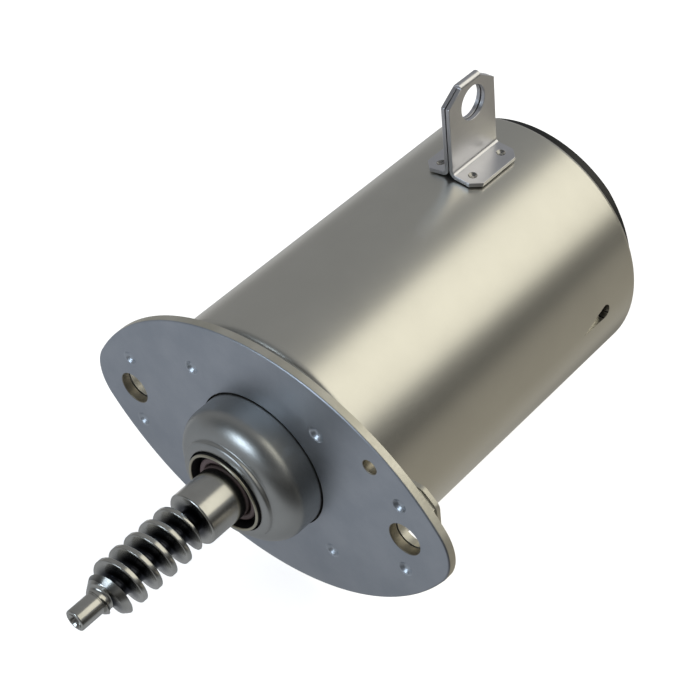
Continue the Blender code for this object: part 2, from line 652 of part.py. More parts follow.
def shaft_profile():
    """Section of the whole shaft, tip first; the worm is joined on afterwards."""
    core = WORM_ROOT_RADIUS - FIT_GAP
    rear_step = COMMUTATOR_END + FIT_GAP
    return [
        (0, TIP + CENTRE_HOLE_DEPTH),
        (CENTRE_HOLE_RADIUS, TIP),
        (PIN_RADIUS - PIN_CHAMFER, TIP),
        (PIN_RADIUS, TIP + PIN_CHAMFER),
        (PIN_RADIUS, WORM_FRONT),
        (core, WORM_FRONT),
        (core, JOURNAL_FRONT),
        (JOURNAL_RADIUS - JOURNAL_CHAMFER, JOURNAL_FRONT),
        (JOURNAL_RADIUS, JOURNAL_FRONT + JOURNAL_CHAMFER),
        (JOURNAL_RADIUS, BEARING_STEP),
        (SHAFT_RADIUS, BEARING_STEP),
        (SHAFT_RADIUS, rear_step),
        (REAR_JOURNAL_RADIUS, rear_step),
        (REAR_JOURNAL_RADIUS, REAR_BEARING_END - FIT_GAP),
        (0, REAR_BEARING_END - FIT_GAP),
    ]


def tooth_section():
    """One tooth over one pitch: (share of the pitch, share of the tooth height)."""
    rising = [(1 - share, height) for share, height in reversed(TOOTH_SHARES[1:])]
    return TOOTH_SHARES + rising


def make_worm(materials):
    """Right-hand worm: a row of teeth spun by one turn while it climbs one lead."""
    bm = bmesh.new()
    lead = WORM_PITCH * WORM_STARTS
    first = WORM_FRONT - 2 * lead
    count = ceil((WORM_LENGTH + 4 * lead) / WORM_PITCH)
    crest = JOURNAL_FRONT + WORM_CREST_PLACE
    crest -= WORM_PITCH * ceil((crest - first) / WORM_PITCH)
    height = WORM_RADIUS - WORM_ROOT_RADIUS
    angle = radians(WORM_CREST_ANGLE)
    verts = []
    for tooth in range(count):
        for share, rise in tooth_section():
            radius = WORM_ROOT_RADIUS + height * rise
            place = crest + WORM_PITCH * (tooth + share)
            verts.append(bm.verts.new((radius * cos(angle), place, radius * sin(angle))))
    edges = [bm.edges.new((verts[i], verts[i + 1])) for i in range(len(verts) - 1)]
    steps = MEDIUM_ROUND
    bmesh.ops.spin(bm, geom=verts + edges, cent=(0, 0, 0), axis=(0, 1, 0),
                   dvec=(0, lead / steps, 0), angle=2 * pi, steps=steps,
                   use_merge=False, use_duplicate=False)
    bmesh.ops.remove_doubles(bm, verts=bm.verts, dist=MERGE_DISTANCE)
    ends = ((WORM_FRONT + FIT_GAP, -1), (JOURNAL_FRONT - WORM_RELIEF, 1))
    for place, outward in ends:
        cut = bmesh.ops.bisect_plane(
            bm, geom=bm.verts[:] + bm.edges[:] + bm.faces[:], dist=MERGE_DISTANCE,
            plane_co=(0, place, 0), plane_no=(0, outward, 0), clear_outer=True)
        loop = [item for item in cut["geom_cut"] if isinstance(item, bmesh.types.BMEdge)]
        bmesh.ops.contextual_create(bm, geom=loop)
    for vert in bm.verts:
        limit = WORM_ROOT_RADIUS + (vert.co.y - WORM_FRONT) * height / WORM_RUNOUT
        radius = sqrt(vert.co.x ** 2 + vert.co.z ** 2)
        if radius > limit:
            vert.co.x *= limit / radius
            vert.co.z *= limit / radius
    return finish("worm_teeth", bm, materials["ground_steel"])


def make_shaft(materials):
    shaft = turned("worm_shaft", shaft_profile(), materials["ground_steel"], MEDIUM_ROUND)
    combine(shaft, make_worm(materials), "UNION")


def bearing_ring_profile(inner, outer, groove_side):
    """Section of a bearing ring with a round ball track on one side."""
    track = BALL_RADIUS + FIT_GAP
    face = inner if groove_side < 0 else outer
    depth = abs(PITCH_RADIUS - face)
    half = sqrt(track ** 2 - depth ** 2)
    reach = atan2(half, depth) * 180 / pi
    if groove_side < 0:
        groove = arc(PITCH_RADIUS, BALL_PLACE, track, track, reach, -reach, 4)
        return [(outer, BEARING_FRONT), (outer, BEARING_BACK), (inner, BEARING_BACK)] + groove + [
            (inner, BEARING_FRONT)]
    groove = arc(PITCH_RADIUS, BALL_PLACE, track, track, 180 - reach, 180 + reach, 4)
    return [(inner, BEARING_FRONT), (inner, BEARING_BACK), (outer, BEARING_BACK)] + groove + [
        (outer, BEARING_FRONT)]


def make_front_bearing(materials):
    outer_bore, inner_face = OUTER_RING_BORE, INNER_RING_RADIUS
    steel = materials["bearing_steel"]
    turned("bearing_outer_ring",
           bearing_ring_profile(outer_bore, BEARING_RADIUS, -1), steel)
    turned("bearing_inner_ring",
           bearing_ring_profile(BEARING_BORE, inner_face, 1), steel)

    half = BALL_RADIUS + FIT_GAP + CAGE_RIM
    cage = turned("bearing_cage", ring_profile(inner_face + FIT_GAP, outer_bore - FIT_GAP,
                                               BALL_PLACE - half, BALL_PLACE + half),
                  materials["brass"])
    pockets = bmesh.new()
    for number in range(BALL_COUNT):
        angle = 2 * pi * (number + 0.5) / BALL_COUNT
        outward = Vector((sin(angle), 0, cos(angle)))
        place = Vector((0, BALL_PLACE, 0)) + outward * PITCH_RADIUS
        turn = Matrix.Translation(place) @ Matrix.Rotation(angle, 4, "Y")
        bmesh.ops.create_cone(pockets, cap_ends=True, segments=TINY_ROUND,
                              radius1=BALL_RADIUS + FIT_GAP, radius2=BALL_RADIUS + FIT_GAP,
                              depth=2 * (BALL_RADIUS + FIT_GAP), matrix=turn)
        ball = bmesh.new()
        bmesh.ops.create_icosphere(ball, subdivisions=2, radius=BALL_RADIUS,
                                   matrix=Matrix.Translation(place))
        finish(f"bearing_ball_{number + 1}", ball, steel)
    combine(cage, finish("cage_cutter", pockets, materials["brass"]), "DIFFERENCE")

    clip_outer = BEARING_SEAT + CLIP_GROOVE - FIT_GAP
    turned("bearing_clip", ring_profile(clip_outer - CLIP_WIDTH, clip_outer,
                                        CLIP_FRONT, CLIP_BACK), steel)


def make_shaft_seal(materials):
    """Steel case, black rubber body and brown lip around the journal."""
    case_front = LIP_FRONT - SEAL_CASE_STAND
    case_back = BEARING_STEP - FIT_GAP
    flange_front = case_back - SEAL_CASE_WALL
    case_section = [
        (SEAL_CASE_BORE, case_front),
        (SEAL_CASE_RADIUS, case_front),
        (SEAL_CASE_RADIUS, case_back),
        (SEAL_CASE_RADIUS - SEAL_CASE_FLANGE, case_back),
        (SEAL_CASE_RADIUS - SEAL_CASE_FLANGE, flange_front),
        (SEAL_CASE_BORE, flange_front),
    ]
    turned("seal_case", case_section, materials["plate_zinc"])
    body_back = flange_front - FIT_GAP
    body_front = body_back - SEAL_BODY_THICKNESS
    turned("seal_body", ring_profile(SEAL_LIP_BORE, SEAL_CASE_BORE - FIT_GAP,
                                     body_front, body_back), materials["rubber"])
    lip_back = body_front - FIT_GAP
    turned("seal_lip", ring_profile(SEAL_LIP_BORE, SEAL_LIP_BORE + SEAL_LIP_WIDTH,
                                    lip_back - SEAL_LIP_LENGTH, lip_back),
           materials["seal_brown"])


def polar(radius, angle):
    return radius * sin(angle), radius * cos(angle)


def core_outline():
    """Outline of one lamination: teeth with broad tips between semi-closed slots."""
    points = []
    mouth_depth, floor = SLOT_TOP, SLOT_FLOOR
    for slot in range(SLOT_COUNT):
        middle = 2 * pi * (slot + 0.5) / SLOT_COUNT
        across = Vector((cos(middle), -sin(middle)))
        out = Vector((sin(middle), cos(middle)))
        for side, levels in ((-1, (CORE_RADIUS, mouth_depth)), (-1, (mouth_depth, floor)),
                             (1, (floor, mouth_depth)), (1, (mouth_depth, CORE_RADIUS))):
            half = SLOT_MOUTH / 2 if CORE_RADIUS in levels else SLOT_WIDTH / 2
            for level in levels:
                points.append(tuple(out * level + across * half * side))
        tip = middle + pi / SLOT_COUNT
        points.append(polar(CORE_RADIUS, tip))
    return points


def make_armature(materials):
    bm = bmesh.new()
    extrude_outline(bm, core_outline(), CORE_START, CORE_END)
    core = finish("armature_core", bm, materials["laminations"])
    cuts = bmesh.new()
    spin_profile(cuts, [(0, CORE_START - CUT_OVERRUN), (BEARING_BORE, CORE_START - CUT_OVERRUN),
                        (BEARING_BORE, CORE_END + CUT_OVERRUN), (0, CORE_END + CUT_OVERRUN)],
                 MEDIUM_ROUND)
    combine(core, finish("core_cutter", cuts, materials["laminations"]), "DIFFERENCE")

    outer = SLOT_TOP - FIT_GAP
    curve = WINDING_ROUND
    front = [(WINDING_BORE, WINDING_FRONT)]
    front += arc(outer - curve, WINDING_FRONT + curve, curve, curve, -90, 0, 3)
    front += [(outer, CORE_START - FIT_GAP), (WINDING_BORE, CORE_START - FIT_GAP)]
    winding = turned("armature_winding", front, materials["copper"])
    back = [(WINDING_BORE, CORE_END + FIT_GAP), (outer, CORE_END + FIT_GAP)]
    back += arc(outer - curve, WINDING_END - curve, curve, curve, 0, 90, 3)
    back += [(WINDING_BORE, WINDING_END)]
    combine(winding, turned("winding_back", back, materials["copper"]), "UNION")
    bars = bmesh.new()
    floor = SLOT_FLOOR + FIT_GAP
    half = SLOT_WIDTH / 2 - FIT_GAP
    bar_top = outer - FIT_GAP
    for slot in range(SLOT_COUNT):
        angle = 2 * pi * (slot + 0.5) / SLOT_COUNT
        marks = len(bars.verts)
        add_box(bars, (-half, CORE_START - 2 * CUT_OVERRUN, floor),
                (half, CORE_END + 2 * CUT_OVERRUN, bar_top))
        bars.verts.ensure_lookup_table()
        bmesh.ops.rotate(bars, verts=bars.verts[marks:], cent=(0, 0, 0),
                         matrix=Matrix.Rotation(angle, 3, "Y"))
    combine(winding, finish("winding_bars", bars, materials["copper"]), "UNION")
    make_commutator(materials)


def commutator_section(radius):
    """Bars of the commutator with a narrow groove between each two."""
    points = []
    half = MICA_WIDTH / 2 / radius
    for bar in range(SLOT_COUNT):
        start = 2 * pi * bar / SLOT_COUNT
        end = start + 2 * pi / SLOT_COUNT
        points.append(polar(radius - MICA_DEPTH, start + half))
        for share in (0.0, 0.5, 1.0):
            points.append(polar(radius, start + half + (end - start - 2 * half) * share))
        points.append(polar(radius - MICA_DEPTH, end - half))
    return points


def make_commutator(materials):
    outer = COMMUTATOR_RADIUS
    riser = outer + RISER_HEIGHT
    riser_end = COMMUTATOR_START + RISER_LENGTH
    per_bar = len(commutator_section(outer)) // SLOT_COUNT
    bore_angles = [2 * pi * (n + 0.5) / (per_bar * SLOT_COUNT)
                   for n in range(per_bar * SLOT_COUNT)]
    bore = [polar(BEARING_BORE, angle) for angle in bore_angles]
    sections = [
        (COMMUTATOR_START, commutator_section(riser)),
        (riser_end, commutator_section(riser)),
        (riser_end, commutator_section(outer)),
        (COMMUTATOR_END, commutator_section(outer)),
        (COMMUTATOR_END, bore),
        (COMMUTATOR_START, bore),
    ]
    bm = bmesh.new()
    rings = [[bm.verts.new((x, place, z)) for x, z in section] for place, section in sections]
    for i, ring in enumerate(rings):
        other = rings[(i + 1) % len(rings)]
        for n in range(len(ring)):
            bm.faces.new([ring[n - 1], ring[n], other[n], other[n - 1]])
    finish("commutator", bm, materials["copper"])


def make_magnets(materials):
    for name, side in (("magnet_left", -1), ("magnet_right", 1)):
        middle = 0 if side > 0 else 180
        spread = MAGNET_HALF_ANGLE
        outer = arc(0, 0, MAGNET_OUTER, MAGNET_OUTER, middle - spread, middle + spread, 18)
        inner = arc(0, 0, MAGNET_INNER, MAGNET_INNER, middle + spread, middle - spread, 14)
        bm = bmesh.new()
        extrude_outline(bm, outer + inner, MAGNET_START, MAGNET_END)
        finish(name, bm, materials["ferrite"])


def make_spring(name, side, material):
    """A coil along Z: a small ring of wire spun round while it climbs."""
    bm = bmesh.new()
    turn = Matrix.Translation((SPRING_RADIUS, 0, SPRING_INNER + SPRING_WIRE))
    ring = bmesh.ops.create_circle(bm, cap_ends=False, segments=WIRE_ROUND, radius=SPRING_WIRE,
                                   matrix=turn @ Matrix.Rotation(pi / 2, 4, "X"))
    first = list(bm.edges)
    steps = round(SPRING_TURNS * TINY_ROUND)
    rise = SPRING_LENGTH - 2 * SPRING_WIRE
    end = bmesh.ops.spin(bm, geom=ring["verts"] + first, cent=(0, 0, 0), axis=(0, 0, 1),
                         dvec=(0, 0, rise / steps), angle=2 * pi * SPRING_TURNS, steps=steps,
                         use_merge=False, use_duplicate=False)
    last = [item for item in end["geom_last"] if isinstance(item, bmesh.types.BMEdge)]
    bmesh.ops.contextual_create(bm, geom=first)
    bmesh.ops.contextual_create(bm, geom=last)
    spring = finish(name, bm, material, AXIS_POINT + Vector((0, BRUSH_PLACE, 0)))
    spring.rotation_euler = (0, 0 if side > 0 else pi, 0)


def make_brush_gear(materials):
    for name, side in (("upper", 1), ("lower", -1)):
        level = [side * value for value in (HOLDER_INNER, HOLDER_OUTER)]
        bm = bmesh.new()
        add_box(bm, (-HOLDER_HALF_ACROSS, BRUSH_PLACE - HOLDER_HALF_ALONG, min(level)),
                (HOLDER_HALF_ACROSS, BRUSH_PLACE + HOLDER_HALF_ALONG, max(level)))
        holder = finish(f"brush_holder_{name}", bm, materials["brass"])
        half_across = HOLDER_HALF_ACROSS - HOLDER_WALL
        half_along = HOLDER_HALF_ALONG - HOLDER_WALL
        pocket = [side * value for value in (HOLDER_INNER - CUT_OVERRUN,
                                             HOLDER_OUTER - HOLDER_WALL)]
        cuts = bmesh.new()
        add_box(cuts, (-half_across, BRUSH_PLACE - half_along, min(pocket)),
                (half_across, BRUSH_PLACE + half_along, max(pocket)))
        combine(holder, finish(f"holder_cutter_{name}", cuts, materials["brass"]), "DIFFERENCE")

        reach = [side * value for value in (BRUSH_INNER - BRUSH_WIDTH / 4, BRUSH_OUTER)]
        bm = bmesh.new()
        add_box(bm, (-BRUSH_WIDTH / 2, BRUSH_PLACE - BRUSH_THICKNESS / 2, min(reach)),
                (BRUSH_WIDTH / 2, BRUSH_PLACE + BRUSH_THICKNESS / 2, max(reach)))
        brush = finish(f"brush_{name}", bm, materials["carbon"])
        face = bmesh.new()
        reach_along = BRUSH_THICKNESS / 2 + CUT_OVERRUN
        spin_profile(face, [(0, BRUSH_PLACE - reach_along), (BRUSH_INNER, BRUSH_PLACE - reach_along),
                            (BRUSH_INNER, BRUSH_PLACE + reach_along),
                            (0, BRUSH_PLACE + reach_along)], LARGE_ROUND)
        combine(brush, finish(f"brush_face_{name}", face, materials["carbon"]), "DIFFERENCE")
        make_spring(f"brush_spring_{name}", side, materials["bearing_steel"])

    plate = turned("brush_plate", ring_profile(BRUSH_PLATE_BORE, CAP_RADIUS, BRUSH_PLATE_FRONT,
                                               BRUSH_PLATE_BACK), materials["black_plastic"])
    cuts = bmesh.new()
    for side in (-1, 1):
        add_cylinder(cuts, (side * SCREW_X, 0), SCREW_RADIUS + FIT_GAP,
                     BRUSH_PLATE_FRONT - CUT_OVERRUN, BRUSH_PLATE_BACK + CUT_OVERRUN,
                     TINY_ROUND)
    combine(plate, finish("plate_cutter", cuts, materials["brass"]), "DIFFERENCE")

    head_back = BRUSH_PLATE_FRONT - FIT_GAP
    head_front = head_back - SCREW_HEAD_HEIGHT
    screw = [(0, head_front), (SCREW_HEAD_RADIUS, head_front), (SCREW_HEAD_RADIUS, head_back),
             (SCREW_RADIUS, head_back), (SCREW_RADIUS, CAP_FRONT + SCREW_DEPTH),
             (0, CAP_FRONT + SCREW_DEPTH)]
    for name, side in (("plate_screw_left", -1), ("plate_screw_right", 1)):
        turned(name, screw, materials["bearing_steel"], TINY_ROUND, (side * SCREW_X, 0))


def make_rear_bearing(materials):
    bore = REAR_JOURNAL_RADIUS + FIT_GAP
    middle = (REAR_BEARING_FRONT + REAR_BEARING_END) / 2
    bulge = arc(REAR_BEARING_RADIUS - REAR_BEARING_BULGE, middle,
                REAR_BEARING_BULGE, REAR_BEARING_LENGTH / 2, -90, 90, 4)
    turned("rear_bearing", [(bore, REAR_BEARING_FRONT)] + bulge + [(bore, REAR_BEARING_END)],
           materials["brass"], SMALL_ROUND)
    back = BOSS_FRONT - FIT_GAP
    turned("bearing_retainer", ring_profile(bore + FIT_GAP, RETAINER_RADIUS,
                                            back - RETAINER_THICKNESS, back),
           materials["bearing_steel"], SMALL_ROUND)


def cap_profile():
    """Section of the cap: skirt with its seal groove, floor, and the rear bearing's pocket."""
    pocket = REAR_BEARING_RADIUS + FIT_GAP
    groove_half = SEAL_RING_WIRE + FIT_GAP
    groove_floor = CAP_RADIUS - 2 * SEAL_RING_WIRE
    return [
        (0, CAP_BACK),
        (0, POCKET_END),
        (pocket, POCKET_END),
        (pocket, BOSS_FRONT),
        (CAP_BOSS_RADIUS, BOSS_FRONT),
        (CAP_BOSS_RADIUS, CAP_INNER_FLOOR),
        (CAP_SKIRT_INNER, CAP_INNER_FLOOR),
        (CAP_SKIRT_INNER, CAP_FRONT),
        (CAP_RADIUS, CAP_FRONT),
        (CAP_RADIUS, SEAL_RING_PLACE - groove_half),
        (groove_floor, SEAL_RING_PLACE - groove_half),
        (groove_floor, SEAL_RING_PLACE + groove_half),
        (CAP_RADIUS, SEAL_RING_PLACE + groove_half),
        (CAP_RADIUS, CAP_BACK - CAP_EDGE),
        (CAP_RADIUS - CAP_EDGE, CAP_BACK),
    ]


def make_cap(materials):
    black = materials["black_plastic"]
    cap = turned("end_cap", cap_profile(), black, LARGE_ROUND)
    rim_outer = CAP_RADIUS - CAP_EDGE
    rim = bmesh.new()
    outline = arc(0, 0, rim_outer, rim_outer, CAP_RIM_FROM, CAP_RIM_TO, 24)
    rim_inner = rim_outer - CAP_RIM_WALL
    outline += arc(0, 0, rim_inner, rim_inner, CAP_RIM_TO, CAP_RIM_FROM, 24)
    extrude_outline(rim, outline, CAP_BACK - CUT_OVERRUN, CAP_BACK)
    for vert in rim.verts:
        if abs(vert.co.y - CAP_BACK) < MERGE_DISTANCE:
            angle = atan2(vert.co.z, vert.co.x) * 180 / pi
            nearest = min(angle - CAP_RIM_FROM, CAP_RIM_TO - angle)
            share = min(1, max(CAP_RIM_END_SHARE, nearest / CAP_RIM_TAPER))
            vert.co.y = CAP_BACK + CAP_RIM_RISE * share
    combine(cap, finish("cap_rim", rim, black), "UNION")

    socket = bmesh.new()
    half_wide, half_high = SOCKET_WIDTH / 2, SOCKET_HEIGHT / 2
    add_box(socket, (-half_wide, CAP_BACK - CUT_OVERRUN, -SOCKET_DROP - half_high),
            (half_wide, SOCKET_END, -SOCKET_DROP + half_high))
    for side in (-1, 1):
        add_cylinder(socket, (side * SCREW_X, 0), POST_RADIUS, CAP_FRONT,
                     CAP_INNER_FLOOR + CUT_OVERRUN, TINY_ROUND)
    combine(cap, finish("cap_socket", socket, black), "UNION")

    cuts = bmesh.new()
    inner_wide, inner_high = half_wide - SOCKET_WALL, half_high - SOCKET_WALL
    add_box(cuts, (-inner_wide, CAP_BACK + SOCKET_WALL, -SOCKET_DROP - inner_high),
            (inner_wide, SOCKET_END + CUT_OVERRUN, -SOCKET_DROP + inner_high))
    slots = bmesh.new()
    slot_wide = TERMINAL_SHEET / 2 + FIT_GAP
    slot_high = TERMINAL_WIDTH / 2 + FIT_GAP
    for side in (-1, 1):
        x = side * TERMINAL_SPACING / 2
        add_box(slots, (x - slot_wide, CAP_INNER_FLOOR - CUT_OVERRUN, -SOCKET_DROP - slot_high),
                (x + slot_wide, CAP_BACK + SOCKET_WALL + CUT_OVERRUN, -SOCKET_DROP + slot_high))
        add_cylinder(cuts, (side * SCREW_X, 0), SCREW_RADIUS + FIT_GAP, CAP_FRONT - CUT_OVERRUN,
                     CAP_FRONT + SCREW_DEPTH + FIT_GAP, TINY_ROUND)
    combine(cap, finish("cap_cutter", cuts, black), "DIFFERENCE")
    combine(cap, finish("terminal_slots", slots, black), "DIFFERENCE")

    for name, side in (("terminal_left", -1), ("terminal_right", 1)):
        x = side * TERMINAL_SPACING / 2
        bm = bmesh.new()
        add_box(bm, (x - TERMINAL_SHEET / 2, CAP_INNER_FLOOR - TERMINAL_SHORT,
                     -SOCKET_DROP - TERMINAL_WIDTH / 2),
                (x + TERMINAL_SHEET / 2, SOCKET_END - TERMINAL_SHORT,
                 -SOCKET_DROP + TERMINAL_WIDTH / 2))
        finish(name, bm, materials["brass"])

    section = arc(CAP_RADIUS - 2 * SEAL_RING_WIRE + SEAL_RING_WIRE + FIT_GAP / 2, SEAL_RING_PLACE,
                  SEAL_RING_WIRE - FIT_GAP / 2, SEAL_RING_WIRE, 0, 315, 7)
    turned("cap_seal", section, materials["rubber"], LARGE_ROUND)


def main():
    clear_scene()
    materials = make_materials()
    make_can(materials)
    make_flange(materials)
    make_ear_plates(materials)
    make_bracket(materials)
    make_shaft(materials)
    make_front_bearing(materials)
    make_shaft_seal(materials)
    make_armature(materials)
    make_magnets(materials)
    make_brush_gear(materials)
    make_rear_bearing(materials)
    make_cap(materials)


main()
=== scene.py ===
from math import atan2, ceil, cos, pi, radians, sin, sqrt

import bmesh
import bpy
from mathutils import Matrix, Vector


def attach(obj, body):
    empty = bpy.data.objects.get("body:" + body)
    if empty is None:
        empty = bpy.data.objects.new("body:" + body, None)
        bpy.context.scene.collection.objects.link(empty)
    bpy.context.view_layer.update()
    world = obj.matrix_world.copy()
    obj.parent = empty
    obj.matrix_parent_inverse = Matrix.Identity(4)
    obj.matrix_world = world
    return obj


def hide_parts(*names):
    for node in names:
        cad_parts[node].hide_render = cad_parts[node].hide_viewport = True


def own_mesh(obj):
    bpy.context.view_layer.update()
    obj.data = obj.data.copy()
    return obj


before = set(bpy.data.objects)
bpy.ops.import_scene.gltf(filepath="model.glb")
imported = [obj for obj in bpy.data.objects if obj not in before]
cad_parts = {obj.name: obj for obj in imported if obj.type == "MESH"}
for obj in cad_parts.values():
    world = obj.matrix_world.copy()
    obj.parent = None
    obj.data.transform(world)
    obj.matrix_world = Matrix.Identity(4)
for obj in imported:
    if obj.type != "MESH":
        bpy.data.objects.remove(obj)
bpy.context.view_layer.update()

# Sizes in metres, in the frame of the solids. The motor's axis runs along Y at AXIS_UP, and
# places along it count from the flange's front face at FACE_Y.
FACE_Y = -0.0272
AXIS_UP = 0.0330
AXIS_POINT = Vector((0, FACE_Y, AXIS_UP))
OVER = 0.001  # how far a cutting tool reaches past what it cuts
GAP = 0.0003  # left between a sheet and what it is fixed to
SHARP_ANGLE = 35.0  # degrees between two faces, past which their edge is drawn sharp

CAN_RADIUS = 0.0330
CAN_FRONT = 0.0024
CAN_END = 0.0954
CAN_WALL = 0.0020
CAN_CORNER = 0.0026
CAN_RIM_CORNER = 0.0016
NOSE_RADIUS = 0.0171
NOSE_WALL_LENGTH = 0.00485
NOSE_SHOULDER_RADIAL = 0.00706
NOSE_SHOULDER_AXIAL = 0.00597
NOSE_SHOULDER_TURN = 64  # degrees, where the collar cuts the shoulder off
LIP_BORE = 0.0103
BEARING_STEP = -0.00732
BEARING_SEAT = 0.0143
DENT_TIP = 0.0738
DENT_END = 0.0840
DENT_HALF = 0.0018
DENT_DEPTH = 0.0018
VENT_START = 0.0818

PLATE = 0.0021
PLATE_EDGE = 0.0005
PAST_PLATE = 0.003
EAR_X = 0.03907
EAR_RADIUS = 0.01224
EAR_HOLE_X = 0.03975
EAR_HOLE_RADIUS = 0.00394
NOSE_HOLE_RADIUS = 0.0175
SMALL_HOLE = (0.0321, 0.0164)
SMALL_HOLE_RADIUS = 0.0017
PUNCHES = ((EAR_X, 0.00944), (0.01793, 0.01749))

EAR_PLATE_FRONT = PLATE + GAP
EAR_PLATE_STEP = EAR_PLATE_FRONT + 0.00065
EAR_PLATE_BACK = EAR_PLATE_FRONT + 0.0017
EAR_PLATE_INNER = 0.0315
EAR_PLATE_OUTER = 0.04645
EAR_PLATE_HALF = 0.0140
EAR_PLATE_CORNER = 0.0034
EAR_PLATE_INSET = 0.0004

JOURNAL_RADIUS = 0.00645
JOURNAL_FRONT = -0.0220
SEAT_RADIUS = 0.0057
SEAT_END = 0.0842
REAR_RADIUS = 0.0040
SHAFT_END = 0.0951
WORM_RADIUS = 0.0062
WORM_ROOT = 0.0029
WORM_PITCH = 0.00429
WORM_FRONT = -0.0498
WORM_END = JOURNAL_FRONT - 0.0010
WORM_FRONT_RUNOUT = 0.0046
WORM_REAR_RUNOUT = 0.0022
PIN_RADIUS = 0.00255
TIP = -0.0556

SHEET = 0.0010
BRACKET_START = 0.0686
BRACKET_END = 0.0849
BRACKET_REACH = 0.0079
BRACKET_RISE = 0.0224
BRACKET_TILT = atan2((BRACKET_REACH + GAP) / 2, CAN_RADIUS)
EYE_RISE = 0.0161
EYE_RADIUS = 0.0042
WELD = (0.0045, 0.0029)  # from the fold, and from the bracket's near end
WELD_RADIUS = 0.0018

CAP_RADIUS = 0.0307
CAP_BACK = 0.0973
CAP_FRONT = CAP_BACK - 0.01135
SOCKET_END = 0.1100
BOSS_X = 0.02005


# Camera at the photograph's viewing angle


def photo_camera():
    """Fitted to the object's outlines in the photograph: its three axes, then its place."""
    data = bpy.data.cameras.new("photo_camera")
    data.lens = 89.13
    data.sensor_width = 36
    data.clip_start = 0.01
    data.clip_end = 50
    camera = bpy.data.objects.new("photo_camera", data)
    right = Vector((0.75890, 0.64513, -0.08871))
    up = Vector((-0.37768, 0.54702, 0.74708))
    back = Vector((0.53049, -0.53345, 0.65879))
    turn = Matrix((right, up, back)).transposed().to_4x4()
    camera.matrix_world = Matrix.Translation((0.2044, -0.2020, 0.2960)) @ turn
    bpy.context.scene.collection.objects.link(camera)
    bpy.context.scene.camera = camera


# Material building


def colour(hex_value):
    """sRGB hex to linear RGBA."""
    channels = [int(hex_value[i:i + 2], 16) / 255 for i in (0, 2, 4)]
    return (*[c / 12.92 if c <= 0.04045 else ((c + 0.055) / 1.055) ** 2.4 for c in channels], 1)


def add(tree, kind, links=None, **settings):
    """Adds a node; settings are attributes or input values, links go to its inputs."""
    node = tree.nodes.new(kind)
    for key, value in settings.items():
        if key.startswith("in_"):
            name = key[3:].replace("_", " ")
            node.inputs[int(name) if name.isdigit() else name].default_value = value
        else:
            setattr(node, key, value)
    for key, source in (links or {}).items():
        tree.links.new(source, node.inputs[key])
    return node


def start_material(name):
    material = bpy.data.materials.new(name)
    material.use_nodes = True
    tree = material.node_tree
    shader = tree.nodes["Principled BSDF"]
    place = add(tree, "ShaderNodeTexCoord").outputs["Object"]
    return material, tree, shader, place


def metal(name, light, dark, roughness, grain_mm, grain_depth, stretch=(1, 1, 1)):
    """A bare or plated metal: two close tones in blotches, a grain in gloss and relief.

    The real grain, a few hundredths of a millimetre, is too fine to show and is drawn
    coarser. Its depth is in millimetres too.
    """
    blotch_mm, spread = 9.0, 0.03
    material, tree, shader, place = start_material(name)
    shader.inputs["Metallic"].default_value = 1
    mapped = add(tree, "ShaderNodeMapping", {"Vector": place}, in_Scale=stretch)
    grain = add(tree, "ShaderNodeTexNoise", {"Vector": mapped.outputs[0]},
                in_Scale=1000 / grain_mm, in_Detail=3.0, in_Roughness=0.6)
    blotch = add(tree, "ShaderNodeTexNoise", {"Vector": place},
                 in_Scale=1000 / blotch_mm, in_Detail=4.0, in_Roughness=0.55)
    tone = add(tree, "ShaderNodeMapRange", {"Value": blotch.outputs["Fac"]},
               in_1=0.35, in_2=0.65)
    mix = add(tree, "ShaderNodeMix", {"Factor": tone.outputs[0]}, data_type="RGBA",
              in_6=colour(dark), in_7=colour(light))
    tree.links.new(mix.outputs[2], shader.inputs["Base Color"])
    gloss = add(tree, "ShaderNodeMapRange", {"Value": grain.outputs["Fac"]},
                in_1=0.3, in_2=0.7, in_3=roughness - spread, in_4=roughness + spread)
    tree.links.new(gloss.outputs[0], shader.inputs["Roughness"])
    bump = add(tree, "ShaderNodeBump", {"Height": grain.outputs["Fac"]},
               in_Strength=1.0, in_Distance=grain_depth / 1000)
    tree.links.new(bump.outputs[0], shader.inputs["Normal"])
    return material


def paint_groove_shade(material, tone):
    """Painted shade in the worm's grooves: darker towards the shaft's axis."""
    clear_of_pin, into_journal = 0.0020, 0.0002
    tree = material.node_tree
    shader = tree.nodes["Principled BSDF"]
    bright = shader.inputs["Base Color"].links[0].from_socket
    place = add(tree, "ShaderNodeTexCoord").outputs["Object"]
    across = add(tree, "ShaderNodeVectorMath", {0: place}, operation="MULTIPLY_ADD",
                 in_1=(1, 0, 1), in_2=(0, 0, -AXIS_UP))
    radius = add(tree, "ShaderNodeVectorMath", {0: across.outputs[0]}, operation="LENGTH")
    deep = add(tree, "ShaderNodeMapRange", {"Value": radius.outputs["Value"]},
               interpolation_type="SMOOTHSTEP", in_1=0.0032, in_2=0.0057, in_3=1.0, in_4=0.0)
    along = add(tree, "ShaderNodeSeparateXYZ", {"Vector": place})
    behind_pin = add(tree, "ShaderNodeMath", {0: along.outputs["Y"]}, operation="GREATER_THAN",
                     in_1=FACE_Y + WORM_FRONT + clear_of_pin)
    before_journal = add(tree, "ShaderNodeMath", {0: along.outputs["Y"]}, operation="LESS_THAN",
                         in_1=FACE_Y + JOURNAL_FRONT + into_journal)
    grooves = add(tree, "ShaderNodeMath", {0: behind_pin.outputs[0], 1: before_journal.outputs[0]},
                  operation="MULTIPLY")
    share = add(tree, "ShaderNodeMath", {0: grooves.outputs[0], 1: deep.outputs[0]},
                operation="MULTIPLY")
    mix = add(tree, "ShaderNodeMix", {"Factor": share.outputs[0], 6: bright}, data_type="RGBA",
              in_7=colour(tone))
    tree.links.new(mix.outputs[2], shader.inputs["Base Color"])


